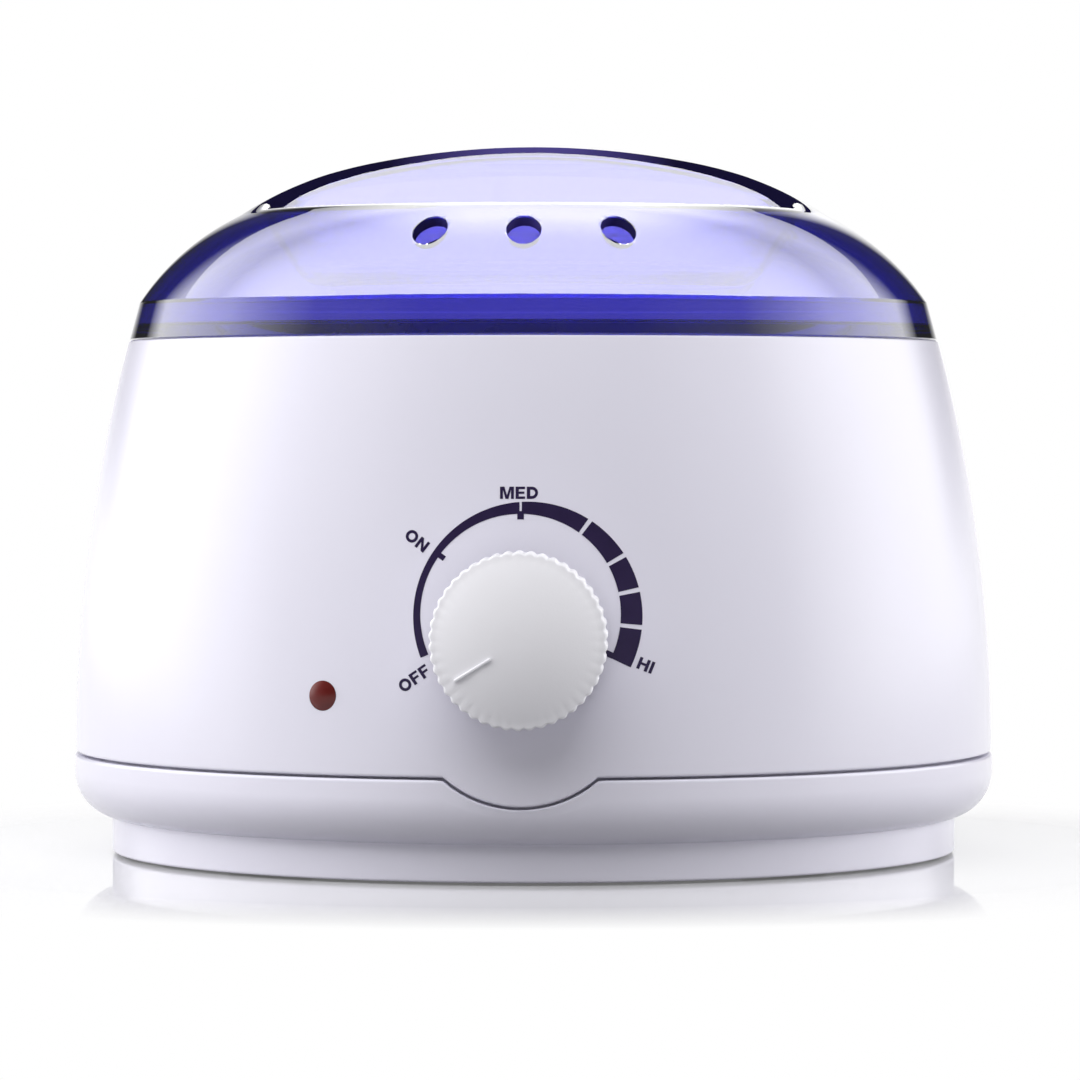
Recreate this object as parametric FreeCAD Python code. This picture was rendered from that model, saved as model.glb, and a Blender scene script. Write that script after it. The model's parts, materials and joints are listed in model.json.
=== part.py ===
import FreeCAD, Part
import math
import os

V = FreeCAD.Vector

# Driving sizes in millimetres, angles in degrees

# Removable wax pot
pot_mouth_r = 57.3
pot_depth = 62.0
pot_wall = 1.0
pot_floor = 1.0
pot_taper = 2.5
pot_flange_width = 5.2
pot_flange_thick = 1.2
ear_width = 12.0
ear_thick = 1.2
ear_margin = 1.6
ear_round = 2.5
bail_wire = 3.0
bail_bend = 3.5
bail_inset = 2.0
bail_head = 1.3
bail_head_overhang = 1.0
bail_rest_gap = 0.3
bail_hole_clear = 0.1

# Heated well that carries the pot
well_gap = 1.2
well_wall = 1.5
well_floor = 1.5
pot_floor_gap = 0.5
well_flange_width = 8.0
well_flange_thick = 1.2
gasket_thick = 1.0
gasket_inset = 0.5
deck_clear = 2.5
deck_thick = 2.5
well_screw_r = 1.2
well_screw_head_r = 2.1
well_screw_head = 1.0
well_screw_length = 6.0
well_screw_inset = 2.7

# Heater stack under the well
stud_r = 2.5
stud_tail = 1.5
nut_height = 4.0
nut_across = 8.0
clip_thick = 0.8
clip_width = 10.0
plate_thick = 1.0
plate_inset = 2.0
heater_thick = 3.0
heater_inset = 10.5
heater_tab_width = 6.0
heater_tab_thick = 0.8
heater_tab_reach = 9.0
switched_tab_angle = -65.0
neutral_tab_angle = 30.0
fuse_r = 2.0
fuse_length = 12.0
fuse_offset = 24.0
fuse_clear = 0.1

# Height of the wiring space over the floor, and the closest fits
wiring_space = 16.6
fit_clear = 0.05
touch = 0.005

# Base tray with its bumper and plinth
foot_height = 2.5
floor_thick = 2.5
foot_stand = 0.5
plinth_height = 6.8
plinth_inset = 7.3
plinth_wall = 2.5
bumper_round = 9.0
bumper_band = 3.3
bumper_proud = 0.2
bumper_edge = 0.6
lip_height = 3.4
lip_thick = 2.0
lip_clear = 0.2
foot_r = 8.0
foot_stem_r = 2.5
foot_stem_head_r = 3.4
foot_stem_head = 1.6
foot_inset = 12.2
slot_count = 24
slot_length = 16.0
slot_width = 2.4
slot_circle_r = 34.0

# Outer shell
shell_wall = 2.5
bracket_reach = 11.1
flank_radius = 310.0
rim_height = 6.5
seam_gap = 0.5
notch_r = 21.5
notch_drop = 5.3
boss_r = 4.5
boss_inset = 8.2
boss_angle = 20.0
boss_height = 50.0
boss_web = 3.0
boss_web_lift = 19.0
base_screw_r = 1.75
base_screw_length = 18.0
base_screw_head_r = 3.5
base_screw_head = 1.6

# Thermostat and control knob
knob_z = 45.2
thermostat_gap = 2.0
thermostat_depth = 12.0
thermostat_width = 28.0
thermostat_height = 24.0
thermostat_post_r = 1.6
thermostat_post = 6.0
thermostat_post_x = 7.0
bracket_thick = 1.2
bracket_width = 48.0
bracket_height = 18.0
bracket_screw_x = 19.0
bracket_boss_r = 4.0
bracket_screw_r = 1.5
bracket_screw_length = 9.0
bracket_screw_head_r = 2.8
bracket_screw_head = 1.8
shaft_r = 3.0
shaft_flat = 1.0
shaft_hole_clear = 0.5
shaft_engage = 10.0
knob_r = 16.0
knob_depth = 15.0
knob_standoff = 0.8
knob_wall = 2.0
knob_crown = 0.7
knob_edge = 0.8
knob_flutes = 40
knob_flute_depth = 0.35
knob_hub_r = 6.0
pointer_start = 5.2
pointer_end = 13.4
pointer_width = 0.8
pointer_angle = -122.0
clip_length = 7.0
clip_sheet = 0.4
clip_breadth = 3.0

# Indicator lamp
lamp_z = 34.5
lamp_angle = 23.8
lens_r = 2.7
lens_proud = 0.8
lens_flange_r = 4.0
lens_flange = 1.2
lens_tail_r = 2.3
lens_tail = 4.0
lamp_boss_r = 5.5
lamp_boss = 1.4
sleeve_wall = 0.7
sleeve_length = 16.0
lamp_bulb_r = 2.0
lamp_bulb_length = 10.0

# Cord gland in the rear wall and the terminal block
gland_lift = 0.5
gland_bore_r = 3.6
gland_barrel_r = 5.5
gland_flange_r = 8.0
gland_flange = 1.8
gland_boss_r = 11.0
gland_boss = 2.5
gland_nut_r = 8.5
gland_nut = 4.0
gland_tail = 1.0
gland_seat_clear = 0.2
block_width = 30.0
block_depth = 16.0
block_height = 12.0
block_inset = 28.2
block_ways = 3
block_screw_r = 1.8
block_screw_head = 0.8

# Insulated leads inside the base
lead_r = 0.9
lead_tail = 10.0
lead_low = 12.0
lead_cross = 5.0
lead_approach = 15.0
lead_bend_share = 0.45

# Lid
lid_height = 38.4
lid_wall = 2.2
skirt_height = 7.3
skirt_inset = 2.0
crown_radius = 154.0
crown_angle = 11.8
shoulder_run = 22.3
recess_depth = 14.0
recess_draft = 3.0
recess_corner = 7.0
recess_floor_round = 5.0
recess_edge_round = 2.6
ridge_width = 26.0
ridge_draft = 8.0
plug_drop = 3.5
plug_thick = 1.8
plug_clear = 0.45
vent_r = 3.15
vent_drop = 6.4
vent_spacing = 15.4
vent_count = 3
vent_clear = 1.0

# Heights worked out from the floor upwards
floor_top = foot_height + floor_thick
stud_end = floor_top + wiring_space
nut_bottom = stud_end + stud_tail
nut_top = nut_bottom + nut_height
clip_top = nut_top + clip_thick
plate_top = clip_top + plate_thick
well_under = plate_top + heater_thick
well_floor_top = well_under + well_floor
pot_under = well_floor_top + pot_floor_gap
pot_floor_top = pot_under + pot_floor
pot_rim = pot_floor_top + pot_depth
well_rim = pot_rim - pot_flange_thick
gasket_top = well_rim - well_flange_thick
deck_top = gasket_top - gasket_thick
deck_under = deck_top - deck_thick
rim_z = deck_top + rim_height
bumper_under = foot_stand + plinth_height
bumper_mid = bumper_under + bumper_round
bumper_top = bumper_mid + bumper_band
shell_foot = bumper_top + seam_gap
lip_top = bumper_top + lip_height
gland_z = lip_top + gland_lift + gland_boss_r
notch_z = bumper_top - notch_drop + notch_r
tongue_r = notch_r - seam_gap
bail_z = pot_rim + bail_rest_gap + bail_wire / 2

# Radii worked out from the pot outwards
pot_outer_r = pot_mouth_r + pot_wall
pot_flange_r = pot_outer_r + pot_flange_width
well_inner_r = pot_outer_r + well_gap
well_outer_r = well_inner_r + well_wall
well_flange_r = well_outer_r + well_flange_width
deck_bore_r = well_outer_r + deck_clear
well_screw_circle_r = well_flange_r - well_screw_inset
thermostat_back = well_outer_r + thermostat_gap
thermostat_front = thermostat_back + thermostat_depth
bracket_front = thermostat_front + bracket_thick
shell_r = bracket_front + bracket_reach + shell_wall
bumper_r = shell_r + bumper_proud
bumper_mid_r = bumper_r - bumper_round
plinth_r = bumper_r - plinth_inset
plinth_inner_r = plinth_r - plinth_wall
lip_outer_r = shell_r - shell_wall - lip_clear
lip_inner_r = lip_outer_r - lip_thick
knob_back = bumper_r + knob_standoff
knob_front = knob_back + knob_depth
boss_circle_r = plinth_inner_r - boss_inset
foot_circle_r = plinth_inner_r - foot_inset
block_y = plinth_inner_r - block_inset
heater_r = well_outer_r - pot_taper - heater_inset
plate_r = heater_r - plate_inset
far = 2 * bumper_r


def shell_outer(z):
    """Outer radius of the shell's flank at a height."""
    return shell_r - flank_radius + math.sqrt(flank_radius ** 2 - (z - shell_foot) ** 2)


def shell_inner(z):
    """Inner radius of the shell's flank at a height."""
    inner_radius = flank_radius - shell_wall
    return shell_r - flank_radius + math.sqrt(inner_radius ** 2 - (z - shell_foot) ** 2)


# Places of the small pieces, worked out from what carries them
clip_roll_r = fuse_r + fuse_clear + clip_thick
fuse_z = clip_top - clip_roll_r
post_y = thermostat_back + thermostat_depth / 2
thermostat_post_low = knob_z - thermostat_height / 2 - thermostat_post
hub_bottom = knob_front - knob_crown - knob_wall
flat_x = shaft_r - shaft_flat
lens_seat = shell_inner(lamp_z) - lamp_boss
lens_face = shell_outer(lamp_z) + lens_proud
lens_dome_r = (lens_r ** 2 + lens_proud ** 2) / (2 * lens_proud)
sleeve_front = lens_seat - lens_flange
sleeve_back = sleeve_front - sleeve_length
lamp_front = sleeve_front - lens_tail
lamp_back = lamp_front - lamp_bulb_length
gland_face = shell_outer(gland_z)
gland_seat = shell_inner(gland_z) - gland_boss
gland_inner = gland_seat - gland_nut - gland_tail
block_front = block_y - block_depth / 2
block_top = floor_top + block_height
block_lead_z = floor_top + block_height / 2
ear_in = pot_flange_r - ear_thick
bail_hole_r = bail_wire / 2 + bail_hole_clear
ear_top = bail_z + bail_hole_r + ear_margin


def turn(angle, radius, z=0.0):
    """Point at an angle about the vertical axis, counted from the +X side."""
    a = math.radians(angle)
    return V(radius * math.cos(a), radius * math.sin(a), z)


def line(a, b):
    return Part.LineSegment(V(a[0], 0, a[1]), V(b[0], 0, b[1])).toShape()


def bow(a, b, radius):
    """Arc in the profile plane that bows to the left of its way, or right if negative."""
    run = b[0] - a[0]
    rise = b[1] - a[1]
    chord = math.hypot(run, rise)
    bulge = abs(radius) - math.sqrt(radius ** 2 - chord ** 2 / 4)
    side = math.copysign(bulge / chord, radius)
    middle = ((a[0] + b[0]) / 2 - rise * side, (a[1] + b[1]) / 2 + run * side)
    return Part.Arc(V(a[0], 0, a[1]), V(middle[0], 0, middle[1]), V(b[0], 0, b[1])).toShape()


def spun(edges):
    """Solid of revolution about the vertical axis from a closed profile."""
    face = Part.Face(Part.Wire(edges))
    return face.revolve(V(0, 0, 0), V(0, 0, 1), 360)


def lathe(points):
    """Solid of revolution from a polygon of radius and height pairs."""
    closed = points + points[:1]
    return spun([line(a, b) for a, b in zip(closed, closed[1:])])


def ring(inner, outer, low, high):
    return lathe([(inner, low), (outer, low), (outer, high), (inner, high)])


def disc(radius, low, high, x=0.0, y=0.0):
    return Part.makeCylinder(radius, high - low, V(x, y, low))


def rod(radius, start, end):
    return Part.makeCylinder(radius, start.distanceToPoint(end), start, end - start)


def block(x0, x1, y0, y1, z0, z1):
    return Part.makeBox(x1 - x0, y1 - y0, z1 - z0, V(x0, y0, z0))


def front_rod(radius, back, front, x=0.0, z=0.0):
    """Cylinder along the front direction between two distances from the axis."""
    return rod(radius, V(x, -back, z), V(x, -front, z))


def joined(shapes):
    whole = shapes[0].multiFuse(shapes[1:]) if len(shapes) > 1 else shapes[0]
    return whole.removeSplitter()


def around(shape, angle):
    turned = shape.copy()
    turned.rotate(V(0, 0, 0), V(0, 0, 1), angle)
    return turned


def quarters(angle):
    """Four angles mirrored about both upright planes."""
    return [angle, 180 - angle, 180 + angle, 360 - angle]


def save(name, shape):
    shape.exportStep("parts/" + name + ".step")


# Outer shell: flank wall, rim, deck and inner bosses

def shell_wall_solid():
    low = notch_z - tongue_r
    outer_rim = (shell_outer(rim_z), rim_z)
    inner_rim = (shell_inner(rim_z), rim_z)
    outer_foot = (shell_r, shell_foot)
    inner_foot = (shell_r - shell_wall, shell_foot)
    return spun([
        line((inner_foot[0], low), (shell_r, low)),
        line((shell_r, low), outer_foot),
        bow(outer_foot, outer_rim, -flank_radius),
        line(outer_rim, inner_rim),
        bow(inner_rim, inner_foot, flank_radius - shell_wall),
        line(inner_foot, (inner_foot[0], low)),
    ])


def shell_envelope():
    """Everything inside the shell's outer face, used to trim the bosses."""
    outer_foot = (shell_r, shell_foot)
    outer_rim = (shell_outer(rim_z), rim_z)
    return spun([
        line((0, floor_top), (shell_r, floor_top)),
        line((shell_r, floor_top), outer_foot),
        bow(outer_foot, outer_rim, -flank_radius),
        line(outer_rim, (0, rim_z)),
        line((0, rim_z), (0, floor_top)),
    ])


def seam_cut():
    """Ring below the shell's lower edge that leaves only the front tongue."""
    band = ring(lip_outer_r, far, floor_top, shell_foot)
    return band.cut(front_rod(tongue_r, 0, far, z=notch_z))


def boss_post(angle):
    post_top = floor_top + boss_height
    post = disc(boss_r, floor_top, post_top, boss_circle_r)
    half = boss_web / 2
    web = block(boss_circle_r, shell_r, -half, half, floor_top + boss_web_lift, post_top)
    return around(post.fuse(web), angle)


def lamp_axis_point(radius):
    return turn(-90 - lamp_angle, radius, lamp_z)


def outer_shell():
    deck = ring(deck_bore_r, shell_inner(deck_under) + shell_wall / 2, deck_under, deck_top)
    bosses = [boss_post(angle) for angle in quarters(boss_angle)]
    for x in (-bracket_screw_x, bracket_screw_x):
        bosses.append(front_rod(bracket_boss_r, bracket_front, shell_r, x, knob_z))
    bosses.append(rod(lamp_boss_r, lamp_axis_point(lens_seat), lamp_axis_point(shell_r)))
    bosses.append(rod(gland_boss_r, V(0, gland_seat, gland_z), V(0, shell_r, gland_z)))
    inside = joined(bosses).common(shell_envelope())
    body = joined([shell_wall_solid().cut(seam_cut()), deck, inside])
    cuts = [front_rod(shaft_r + shaft_hole_clear, bracket_front, far, z=knob_z)]
    for angle in quarters(boss_angle):
        p = turn(angle, boss_circle_r)
        cuts.append(disc(base_screw_r + fit_clear, 0, foot_height + base_screw_length, p.x, p.y))
    for x in (-bracket_screw_x, bracket_screw_x):
        tip = thermostat_front + bracket_screw_length
        cuts.append(front_rod(bracket_screw_r + fit_clear, bracket_front, tip, x, knob_z))
    for angle in quarters(45):
        p = turn(angle, well_screw_circle_r)
        cuts.append(disc(well_screw_r + fit_clear, deck_under, deck_top, p.x, p.y))
    cuts.append(rod(lens_r + fit_clear, lamp_axis_point(lens_seat), lamp_axis_point(far)))
    cuts.append(rod(gland_barrel_r + fit_clear, V(0, gland_seat, gland_z), V(0, far, gland_z)))
    seat_r = gland_flange_r + gland_seat_clear
    cuts.append(rod(seat_r, V(0, gland_face - gland_flange, gland_z), V(0, far, gland_z)))
    return body.cut(cuts)


# Base tray: floor, plinth ring, rounded bumper and the lip inside the shell

def base_tray():
    under = bumper_mid - math.sqrt(bumper_round ** 2 - (plinth_r - bumper_mid_r) ** 2)
    inner_round = bumper_round - plinth_wall
    inner_low = bumper_mid - math.sqrt(inner_round ** 2 - (plinth_inner_r - bumper_mid_r) ** 2)
    inner_high = bumper_mid - math.sqrt(inner_round ** 2 - (lip_inner_r - bumper_mid_r) ** 2)
    edge = bumper_top - bumper_edge
    body = spun([
        line((0, foot_height), (plinth_inner_r, foot_height)),
        line((plinth_inner_r, foot_height), (plinth_inner_r, foot_stand)),
        line((plinth_inner_r, foot_stand), (plinth_r, foot_stand)),
        line((plinth_r, foot_stand), (plinth_r, under)),
        bow((plinth_r, under), (bumper_r, bumper_mid), -bumper_round),
        line((bumper_r, bumper_mid), (bumper_r, edge)),
        bow((bumper_r, edge), (bumper_r - bumper_edge, bumper_top), -bumper_edge),
        line((bumper_r - bumper_edge, bumper_top), (lip_outer_r, bumper_top)),
        line((lip_outer_r, bumper_top), (lip_outer_r, lip_top)),
        line((lip_outer_r, lip_top), (lip_inner_r, lip_top)),
        line((lip_inner_r, lip_top), (lip_inner_r, inner_high)),
        bow((lip_inner_r, inner_high), (plinth_inner_r, inner_low), inner_round),
        line((plinth_inner_r, inner_low), (plinth_inner_r, floor_top)),
        line((plinth_inner_r, floor_top), (0, floor_top)),
        line((0, floor_top), (0, foot_height)),
    ])
    cuts = [front_rod(notch_r, 0, far, z=notch_z).cut(disc(lip_outer_r, 0, far))]
    for angle in quarters(boss_angle):
        p = turn(angle, boss_circle_r)
        cuts.append(disc(base_screw_r + fit_clear, 0, floor_top, p.x, p.y))
    for angle in quarters(45):
        p = turn(angle, foot_circle_r)
        cuts.append(disc(foot_stem_r + fit_clear, 0, floor_top, p.x, p.y))
    slot = block(slot_circle_r - slot_length / 2, slot_circle_r + slot_length / 2,
                 -slot_width / 2, slot_width / 2, 0, floor_top)
    for i in range(slot_count):
        cuts.append(around(slot, (i + 0.5) * 360 / slot_count))
    return body.cut(cuts)


def rubber_foot(angle):
    p = turn(angle, foot_circle_r)
    pad = disc(foot_r, 0, foot_height, p.x, p.y)
    stem = disc(foot_stem_r, foot_height, floor_top + foot_stem_head, p.x, p.y)
    button = disc(foot_stem_head_r, floor_top, floor_top + foot_stem_head, p.x, p.y)
    return joined([pad, stem, button])


def base_screws():
    screws = []
    for angle in quarters(boss_angle):
        p = turn(angle, boss_circle_r)
        head = disc(base_screw_head_r, foot_height - base_screw_head, foot_height, p.x, p.y)
        shank = disc(base_screw_r, foot_height, foot_height + base_screw_length, p.x, p.y)
        screws.append(head.fuse(shank).removeSplitter())
    return Part.makeCompound(screws)


# Heated well with its gasket, screws and heater stack

def heater_well():
    low_r = well_outer_r - pot_taper
    low_inner_r = well_inner_r - pot_taper
    cup = lathe([
        (0, well_under), (low_r, well_under), (well_outer_r, gasket_top), (well_flange_r, gasket_top),
        (well_flange_r, well_rim), (well_inner_r, well_rim), (low_inner_r, well_floor_top),
        (0, well_floor_top),
    ])
    stud = disc(stud_r, stud_end, well_under)
    holes = [disc(well_screw_r + fit_clear, gasket_top, well_rim, p.x, p.y) for p in well_screw_points()]
    return cup.fuse(stud).removeSplitter().cut(holes)


def well_screw_points():
    return [turn(angle, well_screw_circle_r) for angle in quarters(45)]


def well_gasket():
    body = ring(deck_bore_r, well_flange_r - gasket_inset, deck_top, gasket_top)
    holes = [disc(well_screw_r + fit_clear, deck_top, gasket_top, p.x, p.y) for p in well_screw_points()]
    return body.cut(holes)


def well_screws():
    screws = []
    for p in well_screw_points():
        head = disc(well_screw_head_r, well_rim, well_rim + well_screw_head, p.x, p.y)
        shank = disc(well_screw_r, well_rim - well_screw_length, well_rim, p.x, p.y)
        screws.append(head.fuse(shank).removeSplitter())
    return Part.makeCompound(screws)


def heater_tab_z():
    return plate_top + (heater_thick - heater_tab_thick) / 2


def heater_tab(angle):
    low = heater_tab_z()
    half = heater_tab_width / 2
    strip = block(heater_r / 2, heater_r + heater_tab_reach, -half, half, low, low + heater_tab_thick)
    return around(strip, angle)


def heater_disc():
    plate = disc(heater_r, plate_top, well_under)
    body = joined([plate, heater_tab(switched_tab_angle), heater_tab(neutral_tab_angle)])
    return body.cut(disc(stud_r + fit_clear, plate_top, well_under))


def heater_pressure_plate():
    return ring(stud_r + fit_clear, plate_r, clip_top, plate_top)


def hexagon(across, low, high):
    corner = across / math.sqrt(3)
    points = [turn(60 * i + 30, corner, low) for i in range(7)]
    return Part.Face(Part.makePolygon(points)).extrude(V(0, 0, high - low))


def heater_nut():
    return hexagon(nut_across, nut_bottom, nut_top).cut(disc(stud_r + fit_clear, nut_bottom, nut_top))


def fuse_rod(radius, length):
    return rod(radius, V(-fuse_offset, -length / 2, fuse_z), V(-fuse_offset, length / 2, fuse_z))


def fuse_clip():
    """Strip under the nut whose end is rolled round the thermal fuse."""
    meet = math.sqrt(clip_roll_r ** 2 - (nut_top - fuse_z) ** 2) - fuse_offset
    lowest = V(-fuse_offset, 0, fuse_z - clip_roll_r)
    outline = Part.Wire([
        line((-fuse_offset, clip_top), (nut_across, clip_top)),
        line((nut_across, clip_top), (nut_across, nut_top)),
        line((nut_across, nut_top), (meet, nut_top)),
        Part.Arc(V(meet, 0, nut_top), lowest, V(-fuse_offset, 0, clip_top)).toShape(),
    ])
    body = Part.Face(outline).extrude(V(0, clip_width, 0))
    body.translate(V(0, -clip_width / 2, 0))
    return body.cut([fuse_rod(fuse_r + fuse_clear, 2 * clip_width), disc(stud_r + fit_clear, 0, clip_top)])


def thermal_fuse():
    return fuse_rod(fuse_r, fuse_length)


# Thermostat, its bracket and the control knob

def thermostat_body():
    half = thermostat_width / 2
    case = block(-half, half, -thermostat_front, -thermostat_back,
                 knob_z - thermostat_height / 2, knob_z + thermostat_height / 2)
    posts = []
    for x in (-thermostat_post_x, thermostat_post_x):
        top = knob_z - thermostat_height / 2
        posts.append(disc(thermostat_post_r, thermostat_post_low, top, x, -post_y))
    bore = front_rod(shaft_r + fit_clear, thermostat_front - shaft_engage, thermostat_front, z=knob_z)
    return joined([case] + posts).cut(bore)


def thermostat_bracket():
    half = bracket_width / 2
    plate = block(-half, half, -bracket_front, -thermostat_front,
                  knob_z - bracket_height / 2, knob_z + bracket_height / 2)
    cuts = [front_rod(shaft_r + fit_clear, thermostat_front, bracket_front, z=knob_z)]
    for x in (-bracket_screw_x, bracket_screw_x):
        cuts.append(front_rod(bracket_screw_r + fit_clear, thermostat_front, bracket_front, x, knob_z))
    return plate.cut(cuts)


def thermostat_screws():
    screws = []
    for x in (-bracket_screw_x, bracket_screw_x):
        head_top = thermostat_front - bracket_screw_head
        tip = thermostat_front + bracket_screw_length
        head = front_rod(bracket_screw_head_r, head_top, thermostat_front, x, knob_z)
        shank = front_rod(bracket_screw_r, thermostat_front, tip, x, knob_z)
        screws.append(head.fuse(shank).removeSplitter())
    return Part.makeCompound(screws)


def thermostat_shaft():
    """Round spindle with a flat at its outer end for the knob."""
    back = thermostat_front - shaft_engage + fit_clear
    spindle = front_rod(shaft_r, back, hub_bottom - fit_clear, z=knob_z)
    flat = block(flat_x, shaft_r, -far, -knob_back, knob_z - shaft_r, knob_z + shaft_r)
    return spindle.cut(flat)


def knob_spring_clip():
    """Flat spring between the shaft's flat and the hub."""
    return block(flat_x + fit_clear, flat_x + fit_clear + clip_sheet, -knob_back - clip_length, -knob_back,
                 knob_z - clip_breadth / 2, knob_z + clip_breadth / 2)


def fluted_prism(back, front):
    """Knob grip outline of shallow scallops, extruded along its axis."""
    step = 360 / knob_flutes
    edges = []
    for i in range(knob_flutes):
        def at(share, radius):
            a = math.radians((i + share) * step)
            return V(radius * math.sin(a), -back, knob_z + radius * math.cos(a))
        valley = knob_r - knob_flute_depth
        edges.append(Part.Arc(at(0, valley), at(0.5, knob_r), at(1, valley)).toShape())
    return Part.Face(Part.Wire(edges)).extrude(V(0, back - front, 0))


def knob_form():
    """Turned outline of the knob with a crowned face and a rounded front edge."""
    face_r = knob_r - knob_edge
    edge_front = knob_front - knob_crown
    side = edge_front - knob_edge

    def at(radius, front):
        return V(radius, -front, knob_z)

    crown = (knob_crown + face_r ** 2 / knob_crown) / 2
    half = face_r / 2
    half_front = knob_front - crown + math.sqrt(crown ** 2 - half ** 2)
    slant = knob_edge * math.sqrt(0.5)
    profile = Part.Wire([
        Part.LineSegment(at(0, knob_back), at(knob_r, knob_back)).toShape(),
        Part.LineSegment(at(knob_r, knob_back), at(knob_r, side)).toShape(),
        Part.Arc(at(knob_r, side), at(face_r + slant, side + slant), at(face_r, edge_front)).toShape(),
        Part.Arc(at(face_r, edge_front), at(half, half_front), at(0, knob_front)).toShape(),
        Part.LineSegment(at(0, knob_front), at(0, knob_back)).toShape(),
    ])
    return Part.Face(profile).revolve(V(0, 0, knob_z), V(0, 1, 0), 360)


def control_knob():
    grip = fluted_prism(knob_back, knob_front).common(knob_form())
    hollow = front_rod(knob_r - knob_wall, knob_back, hub_bottom, z=knob_z)
    hub = front_rod(knob_hub_r, knob_back, hub_bottom, z=knob_z)
    bore = front_rod(shaft_r + fit_clear, knob_back, hub_bottom, z=knob_z)
    flat_gap = flat_x + 2 * fit_clear + clip_sheet
    key = block(flat_gap, knob_hub_r, -knob_front, -knob_back, knob_z - shaft_r, knob_z + shaft_r)
    cavity = hollow.cut(hub.cut(bore.cut(key)))
    rib = block(-pointer_width / 2, pointer_width / 2, -knob_front, knob_wall / 2 - knob_front,
                knob_z + pointer_start, knob_z + pointer_end)
    rib.rotate(V(0, 0, knob_z), V(0, 1, 0), pointer_angle)
    return grip.fuse(rib).removeSplitter().cut(cavity)


# Indicator lamp behind a red lens

def indicator_lens():
    cap = Part.makeSphere(lens_dome_r, lamp_axis_point(lens_face - lens_dome_r))
    front = rod(lens_r, lamp_axis_point(lens_seat), lamp_axis_point(far)).common(cap)
    flange = rod(lens_flange_r, lamp_axis_point(sleeve_front), lamp_axis_point(lens_seat))
    tail = rod(lens_tail_r, lamp_axis_point(lamp_front), lamp_axis_point(sleeve_front))
    return joined([front, flange, tail])


def lamp_sleeve():
    bore = lens_tail_r + fit_clear
    tube = rod(bore + sleeve_wall, lamp_axis_point(sleeve_back), lamp_axis_point(sleeve_front))
    return tube.cut(rod(bore, lamp_axis_point(sleeve_back), lamp_axis_point(sleeve_front)))


def indicator_lamp():
    bulb = rod(lamp_bulb_r, lamp_axis_point(lamp_back), lamp_axis_point(lamp_front - lamp_bulb_r))
    tip = Part.makeSphere(lamp_bulb_r, lamp_axis_point(lamp_front - lamp_bulb_r))
    return joined([bulb, tip])


# Cord gland, terminal block and leads

def gland_rod(radius, inner, outer):
    return rod(radius, V(0, inner, gland_z), V(0, outer, gland_z))


def cord_gland():
    barrel = gland_rod(gland_barrel_r, gland_inner, gland_face)
    flange = gland_rod(gland_flange_r, gland_face - gland_flange, gland_face)
    return joined([barrel, flange]).cut(gland_rod(gland_bore_r, gland_inner, gland_face))


def gland_nut_ring():
    nut = hexagon(2 * gland_nut_r, 0, gland_nut)
    nut.rotate(V(0, 0, 0), V(1, 0, 0), 90)
    nut.translate(V(0, gland_seat, gland_z))
    return nut.cut(gland_rod(gland_barrel_r + fit_clear, gland_inner, gland_face))


def block_way(i):
    pitch = block_width / block_ways
    return (i - (block_ways - 1) / 2) * pitch


def terminal_block():
    half = block_width / 2
    body = block(-half, half, block_front, block_y + block_depth / 2, floor_top, block_top)
    wells = [rod(block_screw_r + fit_clear, V(x, y, block_lead_z), V(x, y, block_top))
             for x, y in block_screw_points()]
    return body.cut(wells)


def block_screw_points():
    quarter = block_depth / 4
    return [(block_way(i), block_y + side) for i in range(block_ways) for side in (-quarter, quarter)]


def terminal_screws():
    top = block_top - block_screw_head
    return Part.makeCompound([disc(block_screw_r, block_lead_z, top, x, y) for x, y in block_screw_points()])


def lead(points, label):
    """Insulated lead along straight runs joined by tangent arcs."""
    edges = []
    start = points[0]
    for before, corner, after in zip(points, points[1:], points[2:]):
        back = before - corner
        ahead = after - corner
        turn_angle = math.pi - back.getAngle(ahead)
        reach = lead_bend_share * min(back.Length, ahead.Length)
        back.normalize()
        ahead.normalize()
        a = corner + back * reach
        b = corner + ahead * reach
        bend = reach / math.tan(turn_angle / 2)
        split = back + ahead
        split.normalize()
        middle = corner + split * (math.hypot(bend, reach) - bend)
        edges.append(Part.LineSegment(start, a).toShape())
        edges.append(Part.Arc(a, middle, b).toShape())
        start = b
        print(label, "bend radius", round(bend, 1))
    edges.append(Part.LineSegment(start, points[-1]).toShape())
    path = Part.Wire(edges)
    section = Part.Wire(Part.Circle(points[0], points[1] - points[0], lead_r).toShape())
    tube = path.makePipeShell([section], True, False)
    ideal = math.pi * lead_r ** 2 * path.Length
    print(label, "length", round(path.Length, 1), "volume share", round(tube.Volume / ideal, 4))
    return tube


def block_lead_point(way, out=0.0):
    return V(block_way(way), block_front - out, block_lead_z)


def lead_live():
    fuse_end = V(-fuse_offset, fuse_length / 2, fuse_z)
    return lead([block_lead_point(0), block_lead_point(0, lead_tail),
                 fuse_end + V(0, lead_tail, 0), fuse_end], "lead_live")


def lead_fuse():
    fuse_end = V(-fuse_offset, -fuse_length / 2, fuse_z)
    post = V(-thermostat_post_x, -post_y, thermostat_post_low)
    low = V(post.x, post.y, lead_low)
    ahead = V((fuse_end.x + post.x) / 2, post.y + lead_approach, lead_low)
    return lead([fuse_end, fuse_end - V(0, lead_tail, 0), ahead, low, post], "lead_fuse")


def tab_point(angle, z, inset=0.0):
    return turn(angle, heater_r + heater_tab_reach / 2 - inset, z)


def lead_switched():
    post = V(thermostat_post_x, -post_y, thermostat_post_low)
    tab = tab_point(switched_tab_angle, heater_tab_z(), -lead_cross / 2)
    return lead([post, V(post.x, post.y, lead_low), V(tab.x, tab.y, lead_low), tab], "lead_switched")


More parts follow.
